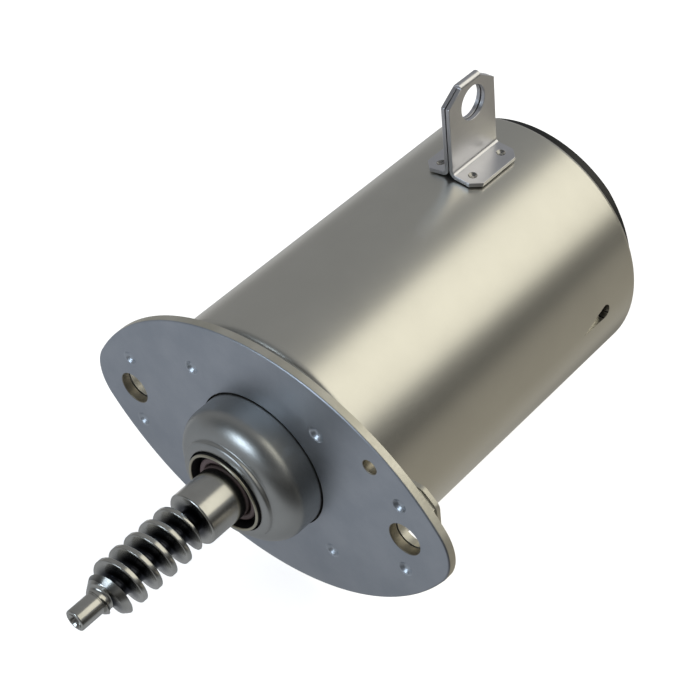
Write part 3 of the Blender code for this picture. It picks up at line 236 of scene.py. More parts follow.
def plain(name, light, dark, roughness, grain_mm, grain_depth):
    """A moulded or pressed non-metal with a fine grain."""
    material = metal(name, light, dark, roughness, grain_mm, grain_depth)
    material.node_tree.nodes["Principled BSDF"].inputs["Metallic"].default_value = 0
    return material


# Satin zinc-nickel plate on drawn steel: warm grey, fine even grain
CAN_STEEL = metal("satin_plated_drawn_steel", "D9D7CF", "D6D4CC", 0.33, 0.5, 0.0005)
# A greyer, darker copy of the can's steel on the nose: painted shade; it is a little softer too
SHADED_NOSE_STEEL = metal("nose_steel_with_painted_shade", "B7B8B6", "B0B1AF", 0.35, 0.45, 0.0030)
# Blue-passivated zinc on blanked plate: cooler and duller than the can
PLATE_STEEL = metal("blue_passivated_zinc_plate", "C2C7CF", "B8BEC7", 0.42, 0.6, 0.004)
# Bright zinc on folded sheet: the lightest and cleanest of the plated faces
BRACKET_STEEL = metal("bright_zinc_sheet", "DEDEE2", "D6D6DA", 0.33, 0.5, 0.003)
# Ground hardened steel: shiny, fine marks round the shaft, painted shade in the worm's grooves
GROUND_STEEL = metal("ground_hardened_steel", "C8C7C2", "B8B7B2", 0.22, 0.4, 0.004,
                     stretch=(1, 6, 1))
paint_groove_shade(GROUND_STEEL, "303238")
# Polished bearing steel: an even mirror shine
BEARING_STEEL = metal("polished_bearing_steel", "D8D8D6", "CFCFCD", 0.15, 0.6, 0.001)
# Sheared edges of the zinc plate: warmer and lighter, streaked across the sheet
EDGE_STEEL = metal("sheared_zinc_plate_edge", "E4E1D7", "D0CDC1", 0.50, 0.35, 0.020,
                   stretch=(1, 0.35, 1))
# Walls of the punched holes: torn, so rough and dull; their darker warm tone is painted shade
SHADED_HOLE_STEEL = metal("torn_hole_wall_painted_shade", "B4AE9E", "8E887A", 0.5, 0.3, 0.02)
# Spot welds through the sheet: darkened by the heat, with a smooth dip
WELD_STEEL = metal("heat_darkened_weld", "B4B3B0", "8C8A86", 0.27, 0.3, 0.01)
# Drawn steel under yellowed zinc: a warm thin ring round the black seal
SEAL_STEEL = metal("zinc_plated_seal_case", "C8C3B0", "B8B3A0", 0.30, 0.5, 0.004)
# Punched marks: burnished by the punch, shinier than the plate
PUNCH_STEEL = metal("burnished_zinc_plate", "CED4DC", "BEC4CC", 0.38, 0.5, 0.002)
# Stacked sheets, blued by heat: dark blue-grey with fine lines round the core
LAMINATION_STEEL = metal("blued_lamination_steel", "7C7F86", "6C6F76", 0.45, 0.5, 0.006,
                         stretch=(1, 8, 1))
# Enamel over drawn copper: a deep orange shine
COPPER = metal("enamelled_copper_wire", "C98B62", "B47750", 0.3, 0.6, 0.01)
# Stamped and tumbled brass: pale yellow and clean
BRASS = metal("stamped_brass", "D8BE83", "CBB077", 0.3, 0.5, 0.003)
# Moulded nylon with glass fibre: black with a soft sheen and a faint grain
BLACK_NYLON = plain("glass_filled_black_nylon", "161719", "111214", 0.45, 0.4, 0.01)
# Moulded rubber: black and matt
BLACK_RUBBER = plain("moulded_black_rubber", "161616", "121212", 0.6, 0.4, 0.01)
# Seal lip compound: dull red-brown
SEAL_BROWN = plain("brown_seal_compound", "85706E", "786462", 0.5, 0.4, 0.008)
# Pressed and sintered ferrite: charcoal grey and stony
FERRITE = plain("sintered_ferrite", "3C3C3F", "343437", 0.6, 0.4, 0.02)
# Pressed carbon: near black with a faint graphite sheen
CARBON = plain("pressed_carbon", "2C2C2D", "242425", 0.55, 0.4, 0.01)


# Mesh building


def link_mesh(name, bm):
    """Merge a closed bmesh, turn its faces outwards and link it as an object."""
    bmesh.ops.remove_doubles(bm, verts=bm.verts, dist=0.000001)
    bmesh.ops.recalc_face_normals(bm, faces=bm.faces)
    mesh = bpy.data.meshes.new(name)
    bm.to_mesh(mesh)
    bm.free()
    piece = bpy.data.objects.new(name, mesh)
    bpy.context.scene.collection.objects.link(piece)
    return piece


def smooth_faces(mesh, angle):
    mesh.shade_smooth()
    mesh.set_sharp_from_angle(angle=radians(angle))


def finish_piece(name, bm, material, body, node):
    """Make a piece of a bmesh and put it in the place of its solid."""
    piece = link_mesh(name, bm)
    piece.data.materials.append(material)
    smooth_faces(piece.data, SHARP_ANGLE)
    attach(piece, body)
    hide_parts(node)
    return piece


def cut(piece, bm, operation="DIFFERENCE", smooth=SHARP_ANGLE, material=None):
    """Apply a Boolean with a closed bmesh; its faces can bring a finish of their own."""
    tool = link_mesh("tool", bm)
    if material:
        tool.data.materials.append(material)
    modifier = piece.modifiers.new("cut", "BOOLEAN")
    modifier.operation = operation
    modifier.object = tool
    modifier.solver = "EXACT"
    modifier.material_mode = "TRANSFER"
    shaped = bpy.data.meshes.new_from_object(
        piece.evaluated_get(bpy.context.evaluated_depsgraph_get()))
    piece.modifiers.clear()
    spent = (piece.data, tool.data)
    piece.data = shaped
    shaped.name = piece.name
    smooth_faces(shaped, smooth)
    bpy.data.objects.remove(tool, do_unlink=True)
    for mesh in spent:
        bpy.data.meshes.remove(mesh)


def break_edges(piece, width):
    """Round the sharp edges a little, as tumbling and plating do."""
    bevel = piece.modifiers.new("broken_edges", "BEVEL")
    bevel.width = width
    bevel.segments = 2
    bevel.limit_method = "ANGLE"
    bevel.angle_limit = radians(38)


def round_edges(bm, edges, width, segments):
    bmesh.ops.bevel(bm, geom=edges, offset=width, segments=segments, affect="EDGES",
                    profile=0.5, material=-1)


def axial_edges(bm):
    """Edges that run along the motor's axis, of a tool that has no slanting ones."""
    return [e for e in bm.edges if abs(e.verts[0].co.y - e.verts[1].co.y) > 0.0001]


def arc(centre_x, centre_y, radius_x, radius_y, start, end, steps):
    """Points on part of an ellipse, from one angle in degrees to another."""
    angles = [radians(start + (end - start) * step / steps) for step in range(steps + 1)]
    return [(centre_x + radius_x * cos(a), centre_y + radius_y * sin(a)) for a in angles]


def spin_profile(bm, profile, segments, centre=(0, 0)):
    """Turn closed (radius, place) points about the motor's axis or one parallel to it."""
    before = len(bm.verts)
    verts = [bm.verts.new((0, FACE_Y + place, AXIS_UP + radius)) for radius, place in profile]
    edges = [bm.edges.new((verts[i - 1], verts[i])) for i in range(len(verts))
             if profile[i - 1][0] or profile[i][0]]
    bmesh.ops.spin(bm, geom=verts + edges, cent=(0, 0, AXIS_UP), axis=(0, 1, 0),
                   dvec=(0, 0, 0), angle=2 * pi, steps=segments, use_merge=True,
                   use_duplicate=False)
    bm.verts.ensure_lookup_table()
    bmesh.ops.translate(bm, verts=bm.verts[before:], vec=(centre[0], 0, centre[1]))


def extrude_face(bm, corners, move):
    """Extrude the closed face between some places by one move."""
    base = bm.faces.new([bm.verts.new(corner) for corner in corners])
    grown = bmesh.ops.extrude_face_region(bm, geom=[base])
    moved = [item for item in grown["geom"] if isinstance(item, bmesh.types.BMVert)]
    bmesh.ops.translate(bm, verts=moved, vec=move)


def extrude_outline(bm, outline, start, end):
    """Extrude a closed (x, height above the axis) outline along the motor's axis."""
    corners = [(x, FACE_Y + start, AXIS_UP + z) for x, z in outline]
    extrude_face(bm, corners, (0, end - start, 0))


def add_wedge(bm, outline, axis, low, high):
    """Extrude a closed outline along X or Z; its points are the two other coordinates."""
    if axis == "X":
        corners = [AXIS_POINT + Vector((low, a, b)) for a, b in outline]
        move = (high - low, 0, 0)
    else:
        corners = [AXIS_POINT + Vector((a, b, low)) for a, b in outline]
        move = (0, 0, high - low)
    extrude_face(bm, corners, move)


def add_cylinder(bm, centre, radius, start, end, segments):
    place = Matrix.Translation((centre[0], FACE_Y + (start + end) / 2, AXIS_UP + centre[1]))
    bmesh.ops.create_cone(bm, cap_ends=True, segments=segments, radius1=radius, radius2=radius,
                          depth=end - start, matrix=place @ Matrix.Rotation(-pi / 2, 4, "X"))


def add_box(bm, low, high):
    """A box from two corners, counted from the flange's front face on the axis."""
    low, high = Vector(low) + AXIS_POINT, Vector(high) + AXIS_POINT
    place = Matrix.Translation((low + high) / 2) @ Matrix.Diagonal((*(high - low), 1))
    bmesh.ops.create_cube(bm, size=1, matrix=place)


# Drawn can with its nose


def bore(radius, end):
    """A straight round tool, from before the flange's front face to one place behind it."""
    return [(0, -OVER), (radius, -OVER), (radius, end), (0, end)]


def can_profile():
    """The can's wall from the seal's bore over the collar, nose and rim to the inside."""
    collar = [(LIP_BORE, -0.01160), (0.01038, -0.01174), (0.01055, -0.01182), (0.01110, -0.01178),
              (0.01170, -0.01163), (0.01215, -0.01140), (0.01233, -0.01124), (0.01240, -0.01106),
              (0.01244, -0.01072), (0.01251, -0.01049), (0.01268, -0.01034), (0.01290, -0.01027)]
    shoulder = [(NOSE_RADIUS - NOSE_SHOULDER_RADIAL * (1 - cos(radians(a))),
                 -NOSE_WALL_LENGTH - NOSE_SHOULDER_AXIAL * sin(radians(a)))
                for a in range(NOSE_SHOULDER_TURN, -1, -4)]
    front = arc(CAN_RADIUS - CAN_CORNER, CAN_FRONT + CAN_CORNER, CAN_CORNER, CAN_CORNER,
                -90, 0, 12)
    rim = arc(CAN_RADIUS - CAN_RIM_CORNER, CAN_END - CAN_RIM_CORNER, CAN_RIM_CORNER,
              CAN_RIM_CORNER, 0, 90, 10)
    inside = [(CAN_RADIUS - CAN_WALL, CAN_END), (CAN_RADIUS - CAN_WALL, CAN_FRONT + CAN_WALL),
              (BEARING_SEAT, CAN_FRONT + CAN_WALL), (BEARING_SEAT, BEARING_STEP),
              (LIP_BORE, BEARING_STEP)]
    return collar + shoulder + [(NOSE_RADIUS, CAN_FRONT)] + front + rim + inside


def make_can():
    bm = bmesh.new()
    spin_profile(bm, can_profile(), 192)
    # Faces ahead of the flange, the nose, take the darker copy of the steel: painted shade
    for face in bm.faces:
        face.material_index = int(face.calc_center_median().y < FACE_Y)
    can = finish_piece("can_and_nose", bm, CAN_STEEL, "housing", "motor_can")
    can.data.materials.append(SHADED_NOSE_STEEL)
    cut_vent(can)


def vent_outline(start):
    """Places along and across the can: a slit that widens to a round end."""
    rounded = arc(DENT_END - DENT_HALF, 0, DENT_HALF, DENT_HALF, -90, 90, 16)
    if start > DENT_TIP:
        return [(start, -DENT_HALF)] + rounded + [(start, DENT_HALF * 0.9)]
    return [(DENT_TIP, -DENT_HALF + 0.0002)] + rounded + [
        (DENT_TIP + 0.0050, DENT_HALF * 0.35), (DENT_TIP + 0.0020, -DENT_HALF * 0.45)]


def cut_vent(can):
    """A dent pressed in on the right side, open where it is deepest."""
    tool = bmesh.new()
    add_wedge(tool, vent_outline(DENT_TIP), "X", CAN_RADIUS + OVER, CAN_RADIUS)
    for vert in tool.verts:
        if vert.co.x < CAN_RADIUS + OVER / 2:
            share = (vert.co.y - FACE_Y - DENT_TIP) / (DENT_END - DENT_TIP)
            vert.co.x = CAN_RADIUS - 0.0001 - DENT_DEPTH * share
    bmesh.ops.triangulate(tool, faces=[f for f in tool.faces if len(f.verts) > 4])
    cut(can, tool)
    tool = bmesh.new()
    add_wedge(tool, vent_outline(VENT_START), "X", CAN_RADIUS + OVER, CAN_RADIUS - 2 * CAN_WALL)
    # The opening's walls through the steel take the black nylon: painted shade inside the vent
    cut(can, tool, material=BLACK_NYLON)


# Flange plate


def flange_outline():
    """A lens of two wide arcs that run into the round ears."""
    arc_radius = (EAR_X ** 2 + CAN_RADIUS ** 2 - EAR_RADIUS ** 2) / (
        2 * (CAN_RADIUS - EAR_RADIUS))
    drop = arc_radius - CAN_RADIUS
    join = atan2(drop, EAR_X) * 180 / pi
    top = arc(0, -drop, arc_radius, arc_radius, join, 180 - join, 64)
    left = arc(-EAR_X, 0, EAR_RADIUS, EAR_RADIUS, 180 - join, 180 + join, 36)
    bottom = arc(0, drop, arc_radius, arc_radius, 180 + join, 360 - join, 64)
    right = arc(EAR_X, 0, EAR_RADIUS, EAR_RADIUS, -join, join, 36)
    return top[:-1] + left[:-1] + bottom[:-1] + right[:-1]


def make_flange():
    bm = bmesh.new()
    extrude_outline(bm, flange_outline(), 0, PLATE)
    front = [e for e in bm.edges if all(abs(v.co.y - FACE_Y) < 1e-7 for v in e.verts)]
    round_edges(bm, front, PLATE_EDGE, 4)
    bm.normal_update()
    for face in bm.faces:
        face.material_index = int(abs(face.normal.y) < 0.3)
    plate = finish_piece("flange_sheet", bm, PLATE_STEEL, "housing", "flange_plate")
    plate.data.materials.append(EDGE_STEEL)
    tool = bmesh.new()
    spin_profile(tool, bore(NOSE_HOLE_RADIUS, PAST_PLATE), 128)
    for side in (-1, 1):
        spin_profile(tool, hole_profile(EAR_HOLE_RADIUS), 64, (side * EAR_HOLE_X, 0))
    spin_profile(tool, hole_profile(SMALL_HOLE_RADIUS), 40, SMALL_HOLE)
    # The holes' walls take the darker tone: painted shade inside them
    cut(plate, tool, material=SHADED_HOLE_STEEL)
    tool = bmesh.new()
    for side in (-1, 1):
        for x, z in PUNCHES:
            for level in (-1, 1):
                spin_profile(tool, punch_profile(), 40, (side * x, level * z))
    cut(plate, tool, smooth=50, material=PUNCH_STEEL)
    even = plate.modifiers.new("even_normals", "WEIGHTED_NORMAL")
    even.weight = 100
    even.keep_sharp = True


def hole_profile(radius):
    """A hole through the plate with a slightly broken front edge."""
    broken = 0.0002
    return [(0, -OVER), (radius + broken + OVER, -OVER), (radius + broken, 0),
            (radius, broken), (radius, PAST_PLATE), (0, PAST_PLATE)]


def punch_profile():
    """A round dent: a soft rim, a cone, and a dished floor."""
    return [(0, -0.001), (0.0021, -0.001), (0.00195, 0.00001), (0.00175, 0.00006),
            (0.00155, 0.00022), (0.0011, 0.00072), (0.0008, 0.00092), (0.0004, 0.00100),
            (0, 0.00102)]


def ear_plate_outline(side, inset):
    outer, inner = EAR_PLATE_OUTER - inset, EAR_PLATE_INNER + inset
    half, corner = EAR_PLATE_HALF - inset, EAR_PLATE_CORNER
    return [(side * x, z) for x, z in (
        (inner, -half), (outer - corner, -half), (outer, corner - half),
        (outer, half - corner), (outer - corner, half), (inner, half))]


def make_ear_plates():
    """Doubler plates behind the ears: a stepped edge, cut back around the can."""
    for name, side in (("left", -1), ("right", 1)):
        bm = bmesh.new()
        extrude_outline(bm, ear_plate_outline(side, 0), EAR_PLATE_STEP, EAR_PLATE_BACK)
        round_edges(bm, axial_edges(bm), 0.0009, 5)
        plate = finish_piece(f"ear_doubler_{name}", bm, EDGE_STEEL, "housing",
                             f"ear_plate_{name}")
        tool = bmesh.new()
        extrude_outline(tool, ear_plate_outline(side, EAR_PLATE_INSET), EAR_PLATE_FRONT,
                        EAR_PLATE_STEP + EAR_PLATE_INSET)
        cut(plate, tool, "UNION")
        tool = bmesh.new()
        spin_profile(tool, bore(CAN_RADIUS + GAP, 0.01), 128)
        cut(plate, tool)
        tool = bmesh.new()
        spin_profile(tool, bore(EAR_HOLE_RADIUS - 0.0001, EAR_PLATE_BACK + OVER), 64,
                     (side * EAR_HOLE_X, 0))
        cut(plate, tool)


# Folded bracket


def strip_outline(path, thickness):
    """Both sides of a sheet that follows a path through its middle."""
    points = [Vector(point) for point in path]
    left, right = [], []
    for i, point in enumerate(points):
        before = (point - points[i - 1]).normalized() if i else None
        after = (points[i + 1] - point).normalized() if i + 1 < len(points) else None
        before = after if before is None else before
        after = before if after is None else after
        tangent = (before + after).normalized()
        normal = Vector((-tangent.y, tangent.x))
        reach = thickness / 2 / max(0.5, normal.dot(Vector((-before.y, before.x))))
        left.append(point + normal * reach)
        right.append(point - normal * reach)
    return [tuple(p) for p in left + right[::-1]]


def bracket_path():
    """From the right foot up the leg, round the fold and down to the left foot."""
    leg = (GAP + SHEET) / 2
    bend = 0.0010 + SHEET / 2
    level = CAN_RADIUS + GAP + SHEET / 2
    bend_x = leg + bend
    bend_z = (level + bend - sin(BRACKET_TILT) * bend_x) / cos(BRACKET_TILT)
    bend_arc = arc(bend_x, bend_z, bend, bend, 270 - BRACKET_TILT * 180 / pi, 180, 10)
    touch = bend_arc[0]
    run = (BRACKET_REACH - touch[0]) / cos(BRACKET_TILT)
    fold_z = CAN_RADIUS + BRACKET_RISE - SHEET / 2 - leg
    right = [(BRACKET_REACH, touch[1] - run * sin(BRACKET_TILT))] + bend_arc + [(leg, fold_z)]
    fold = arc(0, fold_z, leg, leg, 0, 180, 14)[1:-1]
    return right + fold + [(-x, z) for x, z in reversed(right)]


def make_bracket():
    bm = bmesh.new()
    extrude_outline(bm, strip_outline(bracket_path(), SHEET), BRACKET_START, BRACKET_END)
    bracket = finish_piece("folded_strip", bm, BRACKET_STEEL, "housing", "top_bracket")
    tool, welds = bmesh.new(), bmesh.new()
    top = CAN_RADIUS + BRACKET_RISE
    foot = top - 0.0038
    crown_in, crown_up = 0.0046, 0.0030
    weld_x, weld_in = WELD
    weld_z = (CAN_RADIUS + GAP + SHEET - weld_x * sin(BRACKET_TILT)) / cos(BRACKET_TILT)
    for corner, inward, chamfer in ((BRACKET_START, 1, 0.0023), (BRACKET_END, -1, 0.0020)):
        outside = corner - inward * OVER
        crown = corner + inward * crown_in
        add_wedge(tool, [(outside, foot - OVER * crown_up / crown_in), (crown, foot + crown_up),
                         (crown, top + OVER), (outside, top + OVER)], "X", -0.003, 0.003)
        for side in (-1, 1):
            place = AXIS_POINT + Vector((side * weld_x, corner + inward * weld_in, weld_z))
            turn = Matrix.Translation(place) @ Matrix.Rotation(side * BRACKET_TILT, 4, "Y")
            bmesh.ops.create_cone(welds, cap_ends=True, segments=24, radius1=0.0004,
                                  radius2=WELD_RADIUS, depth=0.0011, matrix=turn)
            edge = side * (BRACKET_REACH + OVER)
            reach = chamfer + OVER
            add_wedge(tool, [(edge, outside), (edge - side * (reach + OVER), outside),
                             (edge, corner + inward * reach)], "Z", 0.025, 0.041)
    eye = AXIS_POINT + Vector((0, (BRACKET_START + BRACKET_END) / 2 + 0.0004,
                               CAN_RADIUS + EYE_RISE))
    bmesh.ops.create_cone(tool, cap_ends=True, segments=72, radius1=EYE_RADIUS,
                          radius2=EYE_RADIUS, depth=0.008,
                          matrix=Matrix.Translation(eye) @ Matrix.Rotation(pi / 2, 4, "Y"))
    cut(bracket, tool)
    cut(bracket, welds, material=WELD_STEEL)
    break_edges(bracket, 0.00014)


# Shaft with its worm


def tooth_section():
    """One tooth from crest to crest: share of the pitch, share of the height."""
    half = [(0.0, 1.0), (0.11, 1.0), (0.132, 0.985), (0.150, 0.94), (0.165, 0.86),
            (0.200, 0.58), (0.235, 0.32), (0.265, 0.17), (0.31, 0.07), (0.37, 0.02), (0.44, 0.0)]
    return half + [(1 - share, height) for share, height in reversed(half[1:])]


def make_shaft():
    """A turned shaft and the thread joined to it, which starts and ends in run-outs."""
    bm = bmesh.new()
    core = WORM_ROOT - 0.0002
    tip_hole = [(0, TIP + 0.0022), (0.0011, TIP + 0.0018), (0.0013, TIP + 0.0007),
                (0.0018, TIP + 0.0001), (0.0019, TIP)]
    pin = arc(PIN_RADIUS - 0.0003, TIP + 0.0003, 0.0003, 0.0003, -90, 0, 4)
    journal = arc(JOURNAL_RADIUS - 0.0005, JOURNAL_FRONT + 0.0005, 0.0005, 0.0005, -90, 0, 4)
    profile = tip_hole + pin + [(PIN_RADIUS, WORM_FRONT), (core, WORM_FRONT),
                                (core, JOURNAL_FRONT)] + journal
    profile += [(JOURNAL_RADIUS, BEARING_STEP), (SEAT_RADIUS, BEARING_STEP),
                (SEAT_RADIUS, SEAT_END), (REAR_RADIUS, SEAT_END), (REAR_RADIUS, SHAFT_END),
                (0, SHAFT_END)]
    spin_profile(bm, profile, 96)
    shaft = finish_piece("worm_and_journal", bm, GROUND_STEEL, "rotor", "worm_shaft")
    thread = bmesh.new()
    first = WORM_FRONT - 3 * WORM_PITCH
    count = ceil((JOURNAL_FRONT - WORM_FRONT) / WORM_PITCH) + 5
    # The thread's phase: one crest would pass this place at this angle
    crest, angle = JOURNAL_FRONT + 0.0042, radians(141.0)
    crest -= WORM_PITCH * ceil((crest - first) / WORM_PITCH)
    height = WORM_RADIUS - WORM_ROOT
    verts = []
    for tooth in range(count):
        for share, rise in tooth_section():
            radius = WORM_ROOT + height * rise
            verts.append(thread.verts.new(AXIS_POINT + Vector((
                radius * cos(angle), crest + WORM_PITCH * (tooth + share), radius * sin(angle)))))
    edges = [thread.edges.new((verts[i], verts[i + 1])) for i in range(len(verts) - 1)]
    steps = 96
    bmesh.ops.spin(thread, geom=verts + edges, cent=AXIS_POINT, axis=(0, 1, 0),
                   dvec=(0, WORM_PITCH / steps, 0), angle=2 * pi, steps=steps,
                   use_merge=False, use_duplicate=False)
    bmesh.ops.remove_doubles(thread, verts=thread.verts, dist=0.000002)
    for place, outward in ((WORM_FRONT + 0.0003, -1), (WORM_END, 1)):
        slit = bmesh.ops.bisect_plane(
            thread, geom=thread.verts[:] + thread.edges[:] + thread.faces[:], dist=1e-7,
            plane_co=(0, FACE_Y + place, 0), plane_no=(0, outward, 0), clear_outer=True)
        loop = [item for item in slit["geom_cut"] if isinstance(item, bmesh.types.BMEdge)]
        bmesh.ops.contextual_create(thread, geom=loop)
    for vert in thread.verts:
        place = vert.co.y - FACE_Y
        limit = WORM_ROOT + height * min((place - WORM_FRONT) / WORM_FRONT_RUNOUT,
                                         (WORM_END - place) / WORM_REAR_RUNOUT)
        radius = sqrt(vert.co.x ** 2 + (vert.co.z - AXIS_UP) ** 2)
        if radius > limit:
            vert.co.x *= limit / radius
            vert.co.z = AXIS_UP + (vert.co.z - AXIS_UP) * limit / radius
    cut(shaft, thread, "UNION")


# Shaft seal in the nose


def make_seal():
    """A steel shell with a rolled front, the rubber behind it and the lip on the shaft."""
    bm = bmesh.new()
    front, roll = -0.01262, 0.00035
    rolled = arc(0.00965, front + roll, roll, roll, -180, 0, 8)
    spin_profile(bm, rolled + [(0.0100, -0.00762), (0.0082, -0.00762), (0.0082, -0.00832),
                               (0.0093, -0.00832)], 128)
    bm.normal_update()
    for face in bm.faces:
        proud = face.calc_center_median().y - FACE_Y < front + 0.0003
        face.material_index = int(not proud)
    shell = finish_piece("seal_shell", bm, SEAL_STEEL, "housing", "seal_case")
    shell.data.materials.append(BLACK_RUBBER)
    bm = bmesh.new()
    spin_profile(bm, [(0.00675, -0.00952), (0.0090, -0.00952), (0.0090, -0.00862),
                      (0.00675, -0.00862)], 96)
    finish_piece("seal_rubber", bm, BLACK_RUBBER, "housing", "seal_body")
    bm = bmesh.new()
    ring = arc(0.0072, -0.0108, 0.00045, 0.0004, 180, 270, 4) + arc(
        0.0076, -0.0108, 0.00045, 0.0004, -90, 0, 4) + [(0.00805, -0.00982), (0.00675, -0.00982)]
    spin_profile(bm, ring, 96)
    finish_piece("seal_edge", bm, SEAL_BROWN, "housing", "seal_lip")


# Black cap


def make_cap():
    """The cover with its sloping rim, connector socket, screw bosses and blade slots."""
    bm = bmesh.new()
    edge = arc(CAP_RADIUS - 0.0006, CAP_BACK - 0.0006, 0.0006, 0.0006, 0, 90, 5)
    bearing, hollow = CAP_BACK - 0.0098, CAP_BACK - 0.0041
    groove, groove_half = CAP_BACK - 0.0069, 0.0013
    profile = [(0, CAP_BACK), (0, CAP_BACK - 0.0016), (0.0083, CAP_BACK - 0.0016),
               (0.0083, bearing), (0.0120, bearing), (0.0120, hollow), (0.0271, hollow),
               (0.0271, CAP_FRONT), (CAP_RADIUS, CAP_FRONT), (CAP_RADIUS, groove - groove_half),
               (0.0287, groove - groove_half), (0.0287, groove + groove_half),
               (CAP_RADIUS, groove + groove_half)] + edge
    spin_profile(bm, profile, 160)
    cap = finish_piece("rear_cover", bm, BLACK_NYLON, "housing", "end_cap")
    tool = bmesh.new()
    outer, inner = CAP_RADIUS - 0.0006, CAP_RADIUS - 0.0031
    outline = arc(0, 0, outer, outer, 0, 180, 90) + arc(0, 0, inner, inner, 180, 0, 90)
    extrude_outline(tool, outline, CAP_BACK - OVER, CAP_BACK)
    edges = [e for e in tool.edges
             if all(v.co.y > FACE_Y + CAP_BACK - 0.0001 for v in e.verts)]
    round_edges(tool, edges, 0.0004, 3)
    for vert in tool.verts:
        if vert.co.y - FACE_Y - CAP_BACK > -0.0006:
            angle = atan2(vert.co.z - AXIS_UP, vert.co.x) * 180 / pi
            share = min(1, max(0.1, min(angle, 180 - angle) / 42))
            vert.co.y += 0.0020 * share
    cut(cap, tool, "UNION")
    tool = bmesh.new()
    add_box(tool, (-0.0100, CAP_BACK - OVER, -0.0195), (0.0100, SOCKET_END, -0.0065))
    round_edges(tool, axial_edges(tool), 0.0015, 5)
    for side in (-1, 1):
        add_cylinder(tool, (side * BOSS_X, 0), 0.0040, CAP_FRONT, CAP_BACK - 0.0031, 32)
    cut(cap, tool, "UNION")
    tool = bmesh.new()
    add_box(tool, (-0.0085, CAP_BACK + 0.0015, -0.0180), (0.0085, SOCKET_END + OVER, -0.0080))
    round_edges(tool, axial_edges(tool), 0.0008, 4)
    for side in (-1, 1):
        add_cylinder(tool, (side * BOSS_X, 0), 0.0016, CAP_FRONT - OVER, CAP_FRONT + 0.0053, 24)
    cut(cap, tool)
    tool = bmesh.new()
    for side in (-1, 1):
        add_box(tool, (side * 0.0040 - 0.0007, CAP_BACK - 0.0051, -0.0147),
                (side * 0.0040 + 0.0007, CAP_BACK + 0.0025, -0.0113))
    cut(cap, tool)


# Springs behind the brushes


def make_springs():
    """Coils that fill the height of the spring solids, one for each brush."""
    coil, wire, turns, around = 0.0020, 0.00022, 4, 24
    for name, side in (("upper", 1), ("lower", -1)):
        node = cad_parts[f"brush_spring_{name}"]
        corners = [node.matrix_world @ Vector(corner) for corner in node.bound_box]
        low, high = min(c.z for c in corners), max(c.z for c in corners)
        along = (min(c.y for c in corners) + max(c.y for c in corners)) / 2
        centre = Vector((0, along, (low + high) / 2))
        bm = bmesh.new()
        start = Matrix.Translation(centre + Vector((coil, 0, (low - high) / 2 + wire)))
        ring = bmesh.ops.create_circle(bm, cap_ends=False, segments=12, radius=wire,
                                       matrix=start @ Matrix.Rotation(pi / 2, 4, "X"))
        first = list(bm.edges)
        steps = turns * around
        rise = high - low - 2 * wire
        end = bmesh.ops.spin(bm, geom=ring["verts"] + first, cent=centre, axis=(0, 0, 1),
                             dvec=(0, 0, rise / steps), angle=2 * pi * turns, steps=steps,
                             use_merge=False, use_duplicate=False)
        last = [item for item in end["geom_last"] if isinstance(item, bmesh.types.BMEdge)]
        bmesh.ops.contextual_create(bm, geom=first)
        bmesh.ops.contextual_create(bm, geom=last)
        spring = finish_piece(f"brush_coil_{name}", bm, BEARING_STEEL, "housing",
                              f"brush_spring_{name}")
        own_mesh(spring)


# Solids that keep their shape and take a finish


def finish_inner_solids():
    finishes = {
        "bearing_outer_ring": BEARING_STEEL, "bearing_inner_ring": BEARING_STEEL,
        "bearing_cage": BRASS, "bearing_clip": BEARING_STEEL,
        "armature_core": LAMINATION_STEEL, "armature_winding": COPPER, "commutator": COPPER,
        "magnet_left": FERRITE, "magnet_right": FERRITE, "brush_plate": BLACK_NYLON,
        "brush_holder_upper": BRASS, "brush_holder_lower": BRASS, "brush_upper": CARBON,
        "brush_lower": CARBON, "plate_screw_left": BEARING_STEEL,
        "plate_screw_right": BEARING_STEEL, "rear_bearing": BRASS,
        "bearing_retainer": BEARING_STEEL, "cap_seal": BLACK_RUBBER, "terminal_left": BRASS,
        "terminal_right": BRASS}
    finishes.update({f"bearing_ball_{n}": BEARING_STEEL for n in range(1, 9)})
    for name, material in finishes.items():
        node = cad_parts[name]
        if not node.material_slots:
            node.data.materials.append(material)
        for holder in node.material_slots:
            holder.material = material


# Floor, world and lamps


def floor_ramp(tree, value, low, high, stops):
    """Tones of the table along one direction, as its surroundings light it."""
    share = add(tree, "ShaderNodeMapRange", {"Value": value}, in_1=low, in_2=high)
    ramp = add(tree, "ShaderNodeValToRGB", {"Fac": share.outputs[0]})
    while len(ramp.color_ramp.elements) < len(stops):
        ramp.color_ramp.elements.new(0.5)
    for element, (position, r, g, b) in zip(ramp.color_ramp.elements, stops):
        element.position = position
        element.color = (r, g, b, 1)
    return ramp.outputs[0]


